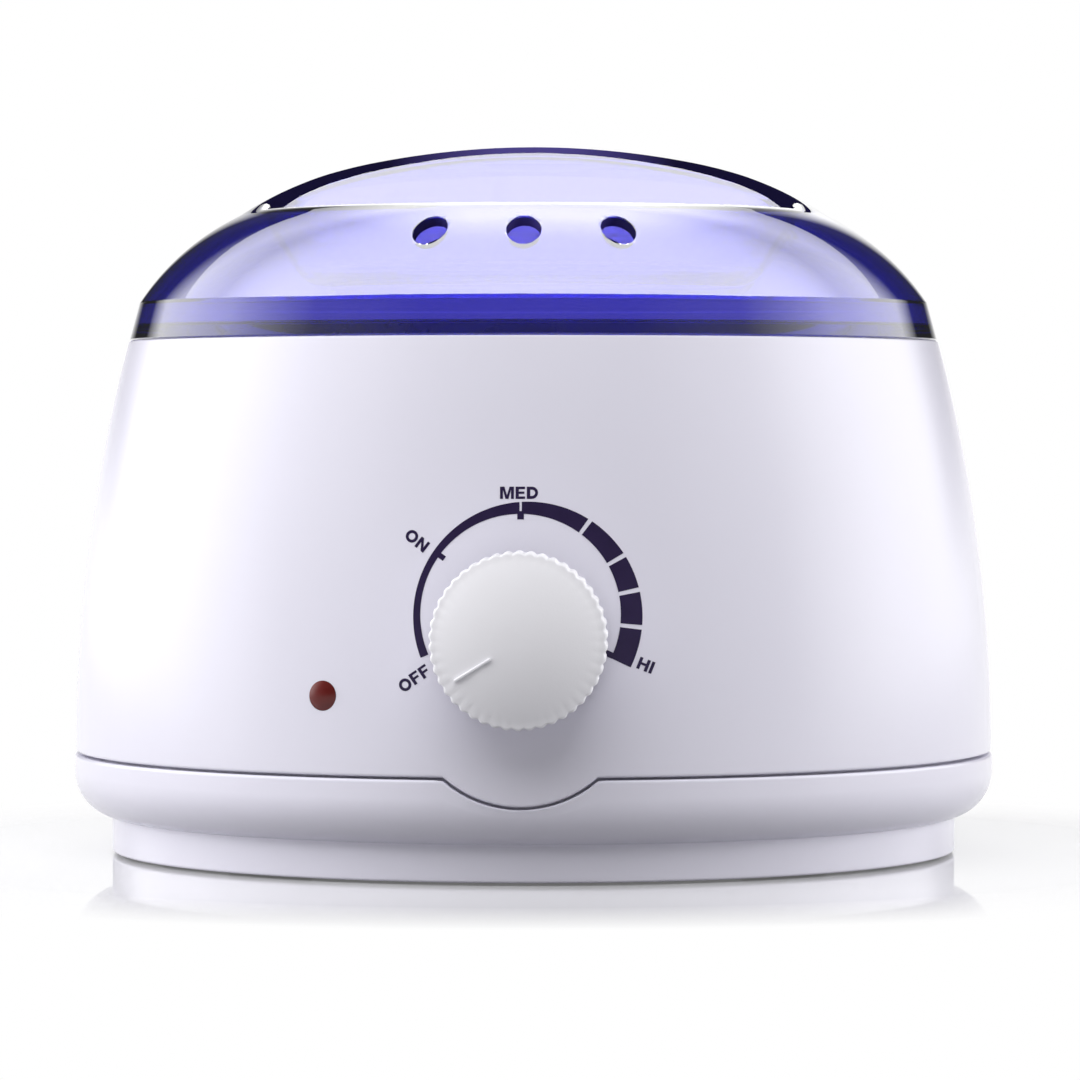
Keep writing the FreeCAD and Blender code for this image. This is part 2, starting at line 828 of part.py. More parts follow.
def lead_neutral():
    last = block_ways - 1
    tab = tab_point(neutral_tab_angle, heater_tab_z())
    return lead([block_lead_point(last), block_lead_point(last, lead_tail),
                 V(tab.x, tab.y, lead_low), tab], "lead_neutral")


def lamp_lead(side, height, ends):
    """Lead from one side of the bulb's foot, down and under the well."""
    radial = lamp_axis_point(1) - V(0, 0, lamp_z)
    spread = V(-radial.y, radial.x, 0) * (side * lamp_bulb_r / 2)
    start = lamp_axis_point(lamp_back) + spread
    out = lamp_axis_point(lamp_back - lead_tail) + spread
    return lead([start, out, V(out.x, out.y, height)] + ends, "lamp_lead")


def lamp_leads():
    high = lead_low + lead_cross
    tab = tab_point(switched_tab_angle, heater_tab_z(), lead_cross / 2)
    to_tab = [V(tab.x, tab.y, high), tab]
    to_block = [block_lead_point(1, lead_tail), block_lead_point(1)]
    return Part.makeCompound([lamp_lead(-1, lead_low, to_block), lamp_lead(1, high, to_tab)])


# Wax pot with its ears and bail

def wax_pot():
    low_r = pot_mouth_r - pot_taper
    return lathe([
        (0, pot_under), (low_r + pot_wall, pot_under), (pot_outer_r, well_rim), (pot_flange_r, well_rim),
        (pot_flange_r, pot_rim), (pot_mouth_r, pot_rim), (low_r, pot_floor_top), (0, pot_floor_top),
    ])


def pot_ear(side):
    half = ear_width / 2
    plate = block(ear_in, pot_flange_r, -half, half, pot_rim, ear_top)
    top_edges = [e for e in plate.Edges if e.BoundBox.ZMin > ear_top - touch]
    upper = [e for e in top_edges if e.BoundBox.XLength > touch]
    plate = plate.makeFillet(ear_round, upper)
    plate = plate.cut(rod(bail_hole_r, V(ear_in, 0, bail_z), V(pot_flange_r, 0, bail_z)))
    return plate if side > 0 else around(plate, 180)


def pot_bail():
    """Wire handle lying on the pot's flange towards the rear."""
    wire_r = bail_wire / 2
    arc_r = ear_in - bail_inset - bail_bend
    shoulder = arc_r + bail_bend
    corner = bail_bend * (1 - math.sqrt(0.5))
    end = pot_flange_r + bail_hole_clear
    left = [V(-end, 0, bail_z), V(-shoulder, 0, bail_z), V(-shoulder + bail_bend - corner, corner, bail_z),
            V(-arc_r, bail_bend, bail_z)]
    right = [V(-p.x, p.y, p.z) for p in left]
    apex = V(0, arc_r + bail_bend, bail_z)
    path = Part.Wire([
        Part.LineSegment(left[0], left[1]).toShape(),
        Part.Arc(left[1], left[2], left[3]).toShape(),
        Part.Arc(left[3], apex, right[3]).toShape(),
        Part.Arc(right[3], right[2], right[1]).toShape(),
        Part.LineSegment(right[1], right[0]).toShape(),
    ])
    section = Part.Wire(Part.Circle(left[0], V(1, 0, 0), wire_r).toShape())
    wire = path.makePipeShell([section], True, False)
    heads = [rod(wire_r + bail_head_overhang, V(s * end, 0, bail_z), V(s * (end + bail_head), 0, bail_z))
             for s in (-1, 1)]
    return joined([wire] + heads)


# Lid: skirt, shoulder, crowned ridge between two finger recesses, vents and plug ring

lid_r = shell_outer(rim_z)
lid_top = rim_z + lid_height
crease = (lid_r - skirt_inset, rim_z + skirt_height)
recess_r = crease[0] - shoulder_run
crown_centre = (0, lid_top - crown_radius)
plug_outer_r = shell_inner(rim_z) - plug_clear
plug_inner_r = plug_outer_r - plug_thick


def polar(centre, radius, angle):
    """Profile point at an angle from straight up about a centre."""
    a = math.radians(angle)
    return (centre[0] + radius * math.sin(a), centre[1] + radius * math.cos(a))


def from_up(centre, point):
    return math.degrees(math.atan2(point[0] - centre[0], point[1] - centre[1]))


# The shoulder arc leaves the crown without a kink and ends at the skirt's crease
crown_end = polar(crown_centre, crown_radius, crown_angle)
fall = (crease[0] - crown_end[0], crease[1] - crown_end[1])
upright = polar((0, 0), 1, crown_angle)
shoulder_radius = -(fall[0] ** 2 + fall[1] ** 2) / (2 * (fall[0] * upright[0] + fall[1] * upright[1]))
shoulder_centre = polar(crown_end, -shoulder_radius, crown_angle)
edge_z = shoulder_centre[1] + math.sqrt(shoulder_radius ** 2 - (recess_r - shoulder_centre[0]) ** 2)
recess_floor = edge_z - recess_depth


def dome(inset, low):
    """Lid form of revolution, drawn in by an inset, from a height upwards."""
    skirt_angle = 90 - math.degrees(math.atan2(skirt_inset, skirt_height))
    shoulder_angle = from_up(shoulder_centre, crease)
    half_bend = math.radians(skirt_angle - shoulder_angle) / 2
    corner = polar(crease, -inset / math.cos(half_bend), (skirt_angle + shoulder_angle) / 2)
    foot = (corner[0] + (corner[1] - low) * skirt_inset / skirt_height, low)
    crown_start = polar(crown_centre, crown_radius - inset, crown_angle)
    top = (0, lid_top - inset)
    return spun([
        line((0, low), foot),
        line(foot, corner),
        bow(corner, crown_start, -(shoulder_radius - inset)),
        bow(crown_start, top, -(crown_radius - inset)),
        line(top, (0, low)),
    ])


def recesses(grow):
    """Front and rear finger recesses, enlarged all round by a wall."""
    low = recess_floor - grow
    height = lid_top + grow - low
    slope = recess_draft / recess_depth
    base_r = recess_r - recess_draft + grow - grow * slope
    cone = Part.makeCone(base_r, base_r + height * slope, height, V(0, 0, low))
    lean = ridge_draft / recess_depth
    foot = ridge_width / 2 + ridge_draft - grow + grow * lean
    tip = foot - height * lean
    high = low + height
    corners = [V(-far, -foot, low), V(-far, foot, low), V(-far, tip, high), V(-far, -tip, high)]
    ridge = Part.Face(Part.makePolygon(corners + corners[:1])).extrude(V(2 * far, 0, 0))
    rounded = []
    for half in cone.cut(ridge).Solids:
        upright = [e for e in half.Edges if e.BoundBox.ZLength > height - fit_clear and len(e.Vertexes) == 2
                   and abs(e.BoundBox.Center.x) > recess_r / 2]
        half = half.makeFillet(recess_corner + grow, upright)
        bottom = [e for e in half.Edges if e.BoundBox.ZMax < low + fit_clear]
        rounded.append(half.makeFillet(recess_floor_round + grow, bottom))
    return rounded


def on_surface(point, solid):
    return solid.Shells[0].distToShape(Part.Vertex(point))[0] < touch


def rounded_mouths(body, outer, cutters):
    """Round the edges where the recesses break through the dome."""
    mouth = []
    for e in body.Edges:
        middle = e.valueAt((e.FirstParameter + e.LastParameter) / 2)
        if on_surface(middle, outer) and any(on_surface(middle, c) for c in cutters):
            mouth.append(e)
    return body.makeFillet(recess_edge_round, mouth)


def lid():
    outer = dome(0, rim_z)
    cutters = recesses(0)
    body = rounded_mouths(outer.cut(cutters), outer, cutters)
    hollow = dome(lid_wall, rim_z + lid_wall).cut(recesses(lid_wall))
    throat = disc(plug_inner_r, rim_z - plug_drop, rim_z + lid_wall + fit_clear)
    plug = ring(plug_inner_r, plug_outer_r, rim_z - plug_drop, rim_z)
    body = joined([body.cut(hollow).cut(throat), plug])
    vents = []
    for i in range(vent_count):
        angle = -90 + (i - (vent_count - 1) / 2) * vent_spacing
        z = edge_z - vent_drop
        vents.append(rod(vent_r, turn(angle, recess_r + lid_wall + vent_clear, z), turn(angle, far, z)))
    return body.cut(vents)


def main():
    os.makedirs("parts", exist_ok=True)
    save("outer_shell", outer_shell())
    save("base_tray", base_tray())
    for name, angle in (("rear_right", 45), ("rear_left", 135), ("front_left", 225), ("front_right", 315)):
        save("rubber_foot_" + name, rubber_foot(angle))
    save("base_screws", base_screws())
    save("heater_well", heater_well())
    save("well_gasket", well_gasket())
    save("well_screws", well_screws())
    save("heater_disc", heater_disc())
    save("heater_pressure_plate", heater_pressure_plate())
    save("heater_nut", heater_nut())
    save("fuse_clip", fuse_clip())
    save("thermal_fuse", thermal_fuse())
    save("thermostat_body", thermostat_body())
    save("thermostat_bracket", thermostat_bracket())
    save("thermostat_screws", thermostat_screws())
    save("thermostat_shaft", thermostat_shaft())
    save("knob_spring_clip", knob_spring_clip())
    save("control_knob", control_knob())
    save("indicator_lens", indicator_lens())
    save("lamp_sleeve", lamp_sleeve())
    save("indicator_lamp", indicator_lamp())
    save("cord_gland", cord_gland())
    save("gland_nut", gland_nut_ring())
    save("terminal_block", terminal_block())
    save("terminal_screws", terminal_screws())
    save("lead_live", lead_live())
    save("lead_fuse", lead_fuse())
    save("lead_switched", lead_switched())
    save("lead_neutral", lead_neutral())
    save("lamp_leads", lamp_leads())
    save("wax_pot", wax_pot())
    save("pot_ear_right", pot_ear(1))
    save("pot_ear_left", pot_ear(-1))
    save("pot_bail", pot_bail())
    save("lid", lid())


main()
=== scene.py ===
"""Salon wax warmer: the looks of every piece, laid out as an add-on and run as a script."""

import json
import math

import bmesh
import bpy
from mathutils import Matrix, Vector


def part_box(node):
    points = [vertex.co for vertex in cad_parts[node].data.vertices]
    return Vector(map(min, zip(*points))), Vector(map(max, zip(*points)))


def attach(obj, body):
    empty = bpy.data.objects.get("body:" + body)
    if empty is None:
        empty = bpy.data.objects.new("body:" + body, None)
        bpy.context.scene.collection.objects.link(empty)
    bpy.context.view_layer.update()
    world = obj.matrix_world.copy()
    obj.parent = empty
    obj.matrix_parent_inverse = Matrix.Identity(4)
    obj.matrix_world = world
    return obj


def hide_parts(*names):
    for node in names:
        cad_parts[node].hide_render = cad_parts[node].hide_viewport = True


bl_info = {
    "name": "Salon Wax Warmer",
    "version": (1, 0, 0),
    "blender": (4, 5, 0),
    "location": "3D View > Sidebar > Wax Warmer",
    "description": "Models the shell, lid, knob, pot and small parts of a salon wax warmer",
    "category": "Add Mesh",
}

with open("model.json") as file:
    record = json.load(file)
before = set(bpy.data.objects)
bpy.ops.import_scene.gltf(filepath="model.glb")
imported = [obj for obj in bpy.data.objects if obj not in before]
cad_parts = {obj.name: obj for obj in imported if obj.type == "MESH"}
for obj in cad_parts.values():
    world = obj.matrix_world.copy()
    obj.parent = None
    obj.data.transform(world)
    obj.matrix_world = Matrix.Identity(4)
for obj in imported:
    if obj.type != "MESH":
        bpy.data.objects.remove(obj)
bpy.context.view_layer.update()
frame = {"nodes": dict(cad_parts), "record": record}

MM = 0.001

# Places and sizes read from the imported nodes
_, shell_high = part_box("outer_shell")
base_low, base_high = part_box("base_tray")
lid_low, lid_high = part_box("lid")
knob_low, knob_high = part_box("control_knob")
well_low, well_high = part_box("heater_well")
pot_low, pot_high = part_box("wax_pot")
ear_low, ear_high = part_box("pot_ear_right")
bail_low, bail_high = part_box("pot_bail")
gland_low, gland_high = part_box("cord_gland")
screw_low, screw_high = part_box("base_screws")
_, well_screw_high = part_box("well_screws")

RIM_Z = shell_high.z
SHELL_R = shell_high.x
BUMPER_R = base_high.x
LID_R = lid_high.x
KNOB_Z = (knob_low.z + knob_high.z) / 2
KNOB_R = (knob_high.x - knob_low.x) / 2
GLAND_Z = (gland_low.z + gland_high.z) / 2
BAIL_Z = (bail_low.z + bail_high.z) / 2

# Shell and base, in the same terms as the construction
FLANK_RADIUS = 310 * MM
SHELL_WALL = 2.5 * MM
SEAM_GAP = 0.5 * MM
SHELL_FOOT = 20.1 * MM
BUMPER_TOP = SHELL_FOOT - SEAM_GAP
BUMPER_ROUND = 9 * MM
BUMPER_MID = 16.3 * MM
LIP_TOP = base_high.z
LIP_OUTER = SHELL_R - SHELL_WALL - 0.2 * MM
LIP_INNER = LIP_OUTER - 2 * MM
PLINTH_R = BUMPER_R - 7.3 * MM
PLINTH_WALL = 2.5 * MM
PLINTH_FOOT = base_low.z
FLOOR_UNDER = 2.5 * MM
FLOOR_TOP = 5 * MM
NOTCH_R = 21.5 * MM
NOTCH_Z = BUMPER_TOP - 5.3 * MM + NOTCH_R
NOTCH_FADE = 6 * MM
TONGUE_R = NOTCH_R - SEAM_GAP
DECK_TOP = 93.5 * MM
DECK_UNDER = 91 * MM
DECK_BORE = 63.5 * MM
LAMP_Z = 34.5 * MM
LAMP_ANGLE = math.radians(23.8)
LENS_R = 2.7 * MM
LENS_PROUD = 0.8 * MM
HOLE_ROOM = 0.05 * MM
HOLE_START = 70 * MM
HOLE_END = 100 * MM
SHAFT_HOLE_R = 3.5 * MM
GLAND_BORE_R = 3.6 * MM
GLAND_BARREL_R = 5.5 * MM
GLAND_FLANGE_R = 8 * MM
GLAND_FLANGE_THICK = 1.8 * MM
GLAND_FLANGE_ROOM = 0.2 * MM
SLOT_HALF = 8 * MM
SLOT_ROUND = 1.2 * MM
SLOT_RING = 34 * MM

# Lid
LID_WALL = 2.2 * MM
CROWN_R = 154.3 * MM
CROWN_REACH = 31.6 * MM
RIDGE_END_R = 82.7 * MM
RIDGE_END_MIDDLE = 14.6 * MM
RIDGE_END_DEPTH = 84.2 * MM
SHOULDER_R = 48.3 * MM
SHOULDER_MIDDLE = 36.9 * MM
SHOULDER_DEPTH = 19 * MM
SHOULDER_START = 54.5 * MM
SHOULDER_BLEND = 5 * MM
CREASE_R = LID_R - 2 * MM
CREASE_Z = RIM_Z + 7.3 * MM
CREASE_INSET = 1.95 * MM
CREASE_SINK = 1.2 * MM
RECESS_R = CREASE_R - 22.3 * MM
RECESS_EDGE_Z = 126.2 * MM
RECESS_DEPTH = 14 * MM
RECESS_SLOPE = 3 / 14
RIDGE_HALF = 13 * MM
RIDGE_SLOPE = 8 / 14
RECESS_CORNER = 7 * MM
RECESS_FLOOR_ROUND = 5 * MM
RECESS_EDGE_ROUND = 2.6 * MM
RIDGE_EDGE_ROUND = 0.5 * MM
RIDGE_REACH = 41 * MM
RIDGE_FALL = 1.7 * MM
# Depth of the painted edge shade down the wall along the ridge, and how much it grows at the ridge's ends
RIDGE_BAND = 1 * MM
RIDGE_BAND_SWELL = 0.9 * MM
LEDGE_LEVEL = 8
PLUG_OUTER = 76.4 * MM
PLUG_INNER = 74.6 * MM
RIDGE_EXTRA = 4 * MM
VENT_R = 3.15 * MM
VENT_STRETCH = 1.4
VENT_REACH = 3.6 * MM
VENT_MOUTH = 0.8 * MM
VENT_EDGE_ROUND = 0.3 * MM
VENT_Z = RECESS_EDGE_Z - 6.4 * MM
VENT_STEP = math.radians(15.4)
# Where the ridge edge's painted shade starts and finishes deepening towards the ridge's ends
EDGE_DARK_START = 6 * MM
EDGE_DARK_END = 28 * MM

UP = Vector((0, 0, 1))
FRONT = -math.pi / 2


def linear(hex_colour):
    """Linear red, green and blue of an sRGB hex colour."""
    channels = [int(hex_colour[i:i + 2], 16) / 255 for i in (0, 2, 4)]
    return tuple(c / 12.92 if c <= 0.04045 else ((c + 0.055) / 1.055) ** 2.4 for c in channels)


def colour_property(name, description, hex_colour):
    """Colour that a user can change."""
    return bpy.props.FloatVectorProperty(
        name=name, description=description, subtype="COLOR", size=3, min=0, max=1, default=linear(hex_colour))


def length_property(name, description, default):
    """Length that a user can change."""
    return bpy.props.FloatProperty(name=name, description=description, unit="LENGTH", default=default)


def power_property(name, description, default):
    """Lamp power that a user can change."""
    return bpy.props.FloatProperty(name=name, description=description, subtype="POWER", default=default)


class WaxWarmerColours(bpy.types.PropertyGroup):
    """Colours of the parts that show."""

    shell: colour_property("Shell", "Gloss plastic of the shell and the base", "E3E1EE")
    knob: colour_property("Knob", "Matte plastic of the knob", "F1F0F5")
    lid: colour_property("Lid", "Light that one wall of the lid lets through", "817CD7")
    # Painted shade: the two colours of the opaque violet that stands in for the refraction dark along the
    # lid's ridge edge and vent bores
    edge: colour_property("Lid edge", "Painted shade along the lid's ridge, at its middle", "4A4282")
    edge_end_shade: colour_property("Lid edge ends", "Painted shade along the lid's ridge, at its two ends", "15122F")
    ink: colour_property("Ink", "Printed dial", "1B0B36")
    lens: colour_property("Lens", "Light that the lamp's lens lets through", "7A120C")
    aluminium: colour_property("Aluminium", "Pot and well", "D3D4D7")
    gland: colour_property("Gland", "Cord gland in the rear wall", "17171A")
    floor: colour_property("Floor", "Ground that the warmer stands on", "F2F2F5")


class WaxWarmerSizes(bpy.types.PropertyGroup):
    """Small sizes of the pieces that show."""

    edge_round: length_property("Edge round", "Round on the edges of the shell and the base", 0.5 * MM)
    knob_flutes: bpy.props.IntProperty(
        name="Knob flutes", description="Lobes round the edge of the knob", default=46, min=8, max=80)
    flute_depth: length_property("Flute depth", "Depth of the grooves between the knob's lobes", 0.38 * MM)
    pointer_proud: length_property("Pointer", "Height of the pointer over the knob's face", 0.3 * MM)
    ink_thickness: length_property("Ink thickness", "Film of ink on the shell", 0.04 * MM)
    slot_count: bpy.props.IntProperty(
        name="Floor slots", description="Cooling slots in the base's floor", default=24, min=6, max=36)


class WaxWarmerStage(bpy.types.PropertyGroup):
    """Camera and lamps."""

    camera_distance: length_property("Camera distance", "From the warmer's axis to the lens", 1.026)
    camera_height: length_property("Camera height", "Height of the lens over the floor", 0.0829)
    camera_side: bpy.props.FloatProperty(
        name="Camera side", description="Turn of the camera to the right of the front", subtype="ANGLE",
        default=math.radians(1.55))
    key_power: power_property("Key lamp", "Power of the broad softbox over the camera", 8.0)
    side_power: power_property("Side lamps", "Power of each side softbox", 7.6)
    rear_power: power_property("Rear lamp", "Power of the softbox behind, which lights the back", 5.0)
    panel_power: power_property("Lid panel", "Power of the overhead panel that only the lid reflects", 170.0)
    fill_strength: bpy.props.FloatProperty(
        name="Fill", description="Brightness of the room on matte surfaces", default=0.11)


# Node helpers

def add_node(tree, kind, inputs=None, **settings):
    """Add a node; an input takes a value, or the output of another node as a link."""
    node = tree.nodes.new(kind)
    for name, value in settings.items():
        setattr(node, name, value)
    for name, value in (inputs or {}).items():
        if isinstance(value, bpy.types.NodeSocket):
            tree.links.new(value, node.inputs[name])
        else:
            node.inputs[name].default_value = value
    return node


def per_mm(size):
    """Texture scale whose features are a size in millimetres."""
    return 1 / (size * MM)


def ring_scale(spacing):
    """Wave texture scale whose rings are a spacing in millimetres apart."""
    return 2 * math.pi / (20 * spacing * MM)


def shade(colour, factor):
    """Colour with an alpha, made lighter or darker by a factor."""
    return tuple(min(1, c * factor) for c in colour[:3]) + (1,)


def finish_output(tree, inputs, absorb=None):
    """Principled surface and output, with an absorbing volume where light passes."""
    surface = add_node(tree, "ShaderNodeBsdfPrincipled", inputs)
    sockets = {"Surface": surface.outputs["BSDF"]}
    if absorb:
        volume = add_node(tree, "ShaderNodeVolumeAbsorption", absorb)
        sockets["Volume"] = volume.outputs["Volume"]
    add_node(tree, "ShaderNodeOutputMaterial", sockets)


def absorption(colour, thickness):
    """Volume inputs that pass a colour through a thickness of material."""
    rates = [-math.log(max(c, 0.004)) / thickness for c in colour[:3]]
    density = max(rates) * 1.02
    return {"Color": tuple(1 - rate / density for rate in rates) + (1,), "Density": density}


def patches(tree, point, colour, roughness, size, detail, spread, gloss_change):
    """Surface inputs with patches of a size in tone and gloss."""
    cloud = add_node(tree, "ShaderNodeTexNoise", {"Vector": point, "Scale": per_mm(size), "Detail": detail})
    tone = add_node(tree, "ShaderNodeMix", {
        0: cloud.outputs[0], 6: shade(colour, 1 - spread), 7: shade(colour, 1 + spread)}, data_type="RGBA")
    gloss = add_node(tree, "ShaderNodeMapRange", {
        0: cloud.outputs[0], 1: 0.3, 2: 0.7, 3: roughness - gloss_change, 4: roughness + gloss_change})
    return {"Base Color": tone.outputs[2], "Roughness": gloss.outputs[0]}


def moulded(tree, point, colour, roughness, blotch, grain, lift, ior=1.5, spread=0.02, gloss_change=0.05):
    """Moulded plastic: faint flow patches in colour and gloss, and a fine skin texture."""
    skin = add_node(tree, "ShaderNodeTexNoise", {"Vector": point, "Scale": per_mm(grain), "Detail": 2.0})
    bump = add_node(tree, "ShaderNodeBump", {
        "Height": skin.outputs[0], "Strength": 1.0, "Distance": lift * MM})
    look = patches(tree, point, colour, roughness, blotch, 3.0, spread, gloss_change)
    finish_output(tree, look | {"IOR": ior, "Normal": bump.outputs[0]})


def metal(tree, point, colour, roughness, lift, height=None, grain=1.0, detail=2.0, blotch=12, spread=0.05,
          gloss_change=0.06):
    """Bare metal: a worked surface, a height or else a grain, with patches of wear in tone and gloss."""
    if height is None:
        fine = add_node(tree, "ShaderNodeTexNoise", {
            "Vector": point, "Scale": per_mm(grain), "Detail": detail})
        height = fine.outputs[0]
    bump = add_node(tree, "ShaderNodeBump", {"Height": height, "Strength": 1.0, "Distance": lift * MM})
    look = patches(tree, point, colour, roughness, blotch, 5.0, spread, gloss_change)
    finish_output(tree, look | {"Metallic": 1.0, "Normal": bump.outputs[0]})


# Finishes, one for each material slot of the record

def colours():
    """Colours as the user has them."""
    return bpy.context.scene.wax_colours


def gloss_abs(tree, point):
    # Injection-moulded ABS from a polished tool: even white, soft reflections, a trace of orange peel
    moulded(tree, point, colours().shell, roughness=0.2, blotch=45, grain=1.6, lift=0.004, ior=1.53,
            spread=0.008, gloss_change=0.03)


def matte_abs(tree, point):
    # ABS from a spark-eroded tool: the fine pits scatter the light, so the knob has no sharp reflections
    moulded(tree, point, colours().knob, roughness=0.5, blotch=14, grain=0.35, lift=0.012, ior=1.53,
            spread=0.01)


def violet_acrylic(tree, point):
    # Clear acrylic dyed violet: the dye deepens with the length of the way through it, edges go darkest
    smear = add_node(tree, "ShaderNodeTexNoise", {"Vector": point, "Scale": per_mm(30), "Detail": 4.0})
    gloss = add_node(tree, "ShaderNodeMapRange", {0: smear.outputs[0], 1: 0.35, 2: 0.75, 3: 0.012, 4: 0.05})
    finish_output(tree, {
        "Base Color": (1, 1, 1, 1), "Roughness": gloss.outputs[0], "IOR": 1.49, "Transmission Weight": 1.0,
        "Coat Weight": 1.0, "Coat Roughness": 0.02, "Coat IOR": 1.5}, absorption(colours().lid, LID_WALL))


def violet_painted_shade(tree, point):
    # Painted shade: an opaque, unreflecting violet stands in for the dark that refraction and internal
    # reflection give the lid's thick ridge edge and vent bores, painted darkest at the ridge's ends
    # Painted shade mask along the ridge: it deepens from the middle colour to the end colour
    place = add_node(tree, "ShaderNodeSeparateXYZ", {0: point})
    along = add_node(tree, "ShaderNodeMath", {0: place.outputs["X"]}, operation="ABSOLUTE")
    share = add_node(tree, "ShaderNodeMapRange", {
        0: along.outputs[0], 1: EDGE_DARK_START, 2: EDGE_DARK_END})
    colour = add_node(tree, "ShaderNodeMix", {
        0: share.outputs[0], 6: shade(colours().edge, 1), 7: shade(colours().edge_end_shade, 1)}, data_type="RGBA")
    finish_output(tree, {"Base Color": colour.outputs[2], "Roughness": 0.3, "Specular IOR Level": 0.0})


def dial_ink(tree, point):
    # Screen-printed ink: deep violet, a little glossier than paper, with the mesh's faint unevenness
    moulded(tree, point, colours().ink, roughness=0.38, blotch=3, grain=0.3, lift=0.003, spread=0.15)


def red_polycarbonate(tree, point):
    # Clear red polycarbonate with turned steps at its back that catch the lamp's light
    grain = add_node(tree, "ShaderNodeTexNoise", {"Vector": point, "Scale": per_mm(0.8), "Detail": 2.0})
    bump = add_node(tree, "ShaderNodeBump", {
        "Height": grain.outputs[0], "Strength": 1.0, "Distance": 0.01 * MM})
    finish_output(tree, {
        "Base Color": shade(colours().lens, 1), "Roughness": 0.32, "IOR": 1.58, "Transmission Weight": 0.5,
        "Specular IOR Level": 0.3, "Normal": bump.outputs[0]})


def spun_aluminium(tree, point):
    # Aluminium spun on a lathe: fine rings round the axis spread highlights across them
    rings = add_node(tree, "ShaderNodeTexWave", {
        "Vector": point, "Scale": ring_scale(0.9), "Distortion": 0.6, "Detail": 2.0},
        wave_type="RINGS", rings_direction="Z")
    metal(tree, point, colours().aluminium, 0.3, 0.012, rings.outputs["Fac"], blotch=18, spread=0.03)


def pressed_aluminium(tree, point):
    # Deep-drawn aluminium: faint upright draw lines and a duller face than the pot
    drawn = add_node(tree, "ShaderNodeMapping", {"Vector": point, "Scale": (1, 1, 0.08)})
    lines = add_node(tree, "ShaderNodeTexNoise", {
        "Vector": drawn.outputs[0], "Scale": per_mm(0.8), "Detail": 3.0})
    metal(tree, point, shade(colours().aluminium, 0.9), 0.42, 0.01, lines.outputs[0], blotch=25, spread=0.06)


def polished_wire(tree, point):
    # Drawn and polished stainless wire: bright, with the die's fine streaks
    metal(tree, point, linear("C9CACC"), 0.17, 0.003, grain=0.6, blotch=8, gloss_change=0.04)


def zinc_plate(tree, point):
    # Bright zinc on steel: a pale blue-grey metal with cloudy patches
    metal(tree, point, linear("B4B8BC"), 0.33, 0.006, grain=0.5, detail=4.0, blotch=2.5, spread=0.12,
          gloss_change=0.1)


def turned_brass(tree, point):
    # Brass bar turned to size: warm metal with tool rings along the shaft
    rings = add_node(tree, "ShaderNodeTexWave", {
        "Vector": point, "Scale": ring_scale(0.5), "Distortion": 0.4}, bands_direction="Y")
    metal(tree, point, linear("C9A65A"), 0.28, 0.006, rings.outputs["Fac"], blotch=4)


def drawn_can(tree, point):
    # Small drawn aluminium can of the thermal fuse, slightly yellow from its lacquer
    metal(tree, point, linear("CFC6AE"), 0.36, 0.005, grain=0.4, blotch=2)


def pressed_mica(tree, point):
    # Built-up mica sheet: overlapping flakes of brown and silver with a soft glint
    flakes = add_node(tree, "ShaderNodeTexVoronoi", {"Vector": point, "Scale": per_mm(3.5)})
    ramp = add_node(tree, "ShaderNodeValToRGB", {0: flakes.outputs["Color"]})
    ramp.color_ramp.elements[0].color = shade(linear("7B6A4F"), 1)
    ramp.color_ramp.elements[1].color = shade(linear("B5A88C"), 1)
    bump = add_node(tree, "ShaderNodeBump", {
        "Height": flakes.outputs["Distance"], "Strength": 1.0, "Distance": 0.03 * MM})
    finish_output(tree, {
        "Base Color": ramp.outputs[0], "Roughness": 0.4, "Metallic": 0.2, "IOR": 1.58,
        "Normal": bump.outputs[0]})


def woven_sleeve(tree, point):
    # Braided glass sleeve: crossing threads about 0.8 mm apart, matte and off-white
    across, along = (
        add_node(tree, "ShaderNodeTexWave", {"Vector": point, "Scale": ring_scale(0.8)}, bands_direction=way)
        for way in ("DIAGONAL", "Z"))
    weave = add_node(tree, "ShaderNodeMath", {
        0: across.outputs["Fac"], 1: along.outputs["Fac"]}, operation="MULTIPLY")
    tone = add_node(tree, "ShaderNodeMix", {
        0: weave.outputs[0], 6: shade(linear("C9C6BA"), 1), 7: shade(linear("EFEDE6"), 1)}, data_type="RGBA")
    bump = add_node(tree, "ShaderNodeBump", {
        "Height": weave.outputs[0], "Strength": 1.0, "Distance": 0.12 * MM})
    finish_output(tree, {
        "Base Color": tone.outputs[2], "Roughness": 0.8, "IOR": 1.5, "Normal": bump.outputs[0]})


def lamp_glass(tree, point):
    # Neon lamp's thin glass: clear with a warm tint and the drawn tube's slight waviness
    waves = add_node(tree, "ShaderNodeTexNoise", {"Vector": point, "Scale": per_mm(2.5)})
    bump = add_node(tree, "ShaderNodeBump", {
        "Height": waves.outputs[0], "Strength": 1.0, "Distance": 0.03 * MM})
    finish_output(tree, {
        "Base Color": shade(linear("FFE0C4"), 1), "Roughness": 0.04, "IOR": 1.5, "Transmission Weight": 1.0,
        "Normal": bump.outputs[0]})


def phenolic(tree, point):
    # Pressed phenolic: near-black brown, half matte, mottled by its filler
    moulded(tree, point, linear("211C18"), 0.48, blotch=2.2, grain=0.5, lift=0.012, ior=1.6, spread=0.35)


def black_nylon(tree, point):
    # Glass-filled black nylon: matte with faint pale flow marks
    moulded(tree, point, colours().gland, 0.5, blotch=4, grain=0.4, lift=0.012, ior=1.53, spread=0.3)


def natural_nylon(tree, point):
    # Unfilled nylon in its own warm white, waxy and half matte
    moulded(tree, point, linear("E3DFD0"), 0.42, blotch=6, grain=0.6, lift=0.008, ior=1.53, spread=0.03)


def grey_rubber(tree, point):
    # Moulded rubber foot: matte warm grey with a dusty bloom
    moulded(tree, point, linear("8F8E8C"), 0.82, blotch=4, grain=0.45, lift=0.03, ior=1.52, spread=0.1)


def red_silicone(tree, point):
    # Die-cut silicone sheet: brick red, soft matte with calender texture
    moulded(tree, point, linear("8A3B2C"), 0.62, blotch=7, grain=0.7, lift=0.02, ior=1.41, spread=0.08)


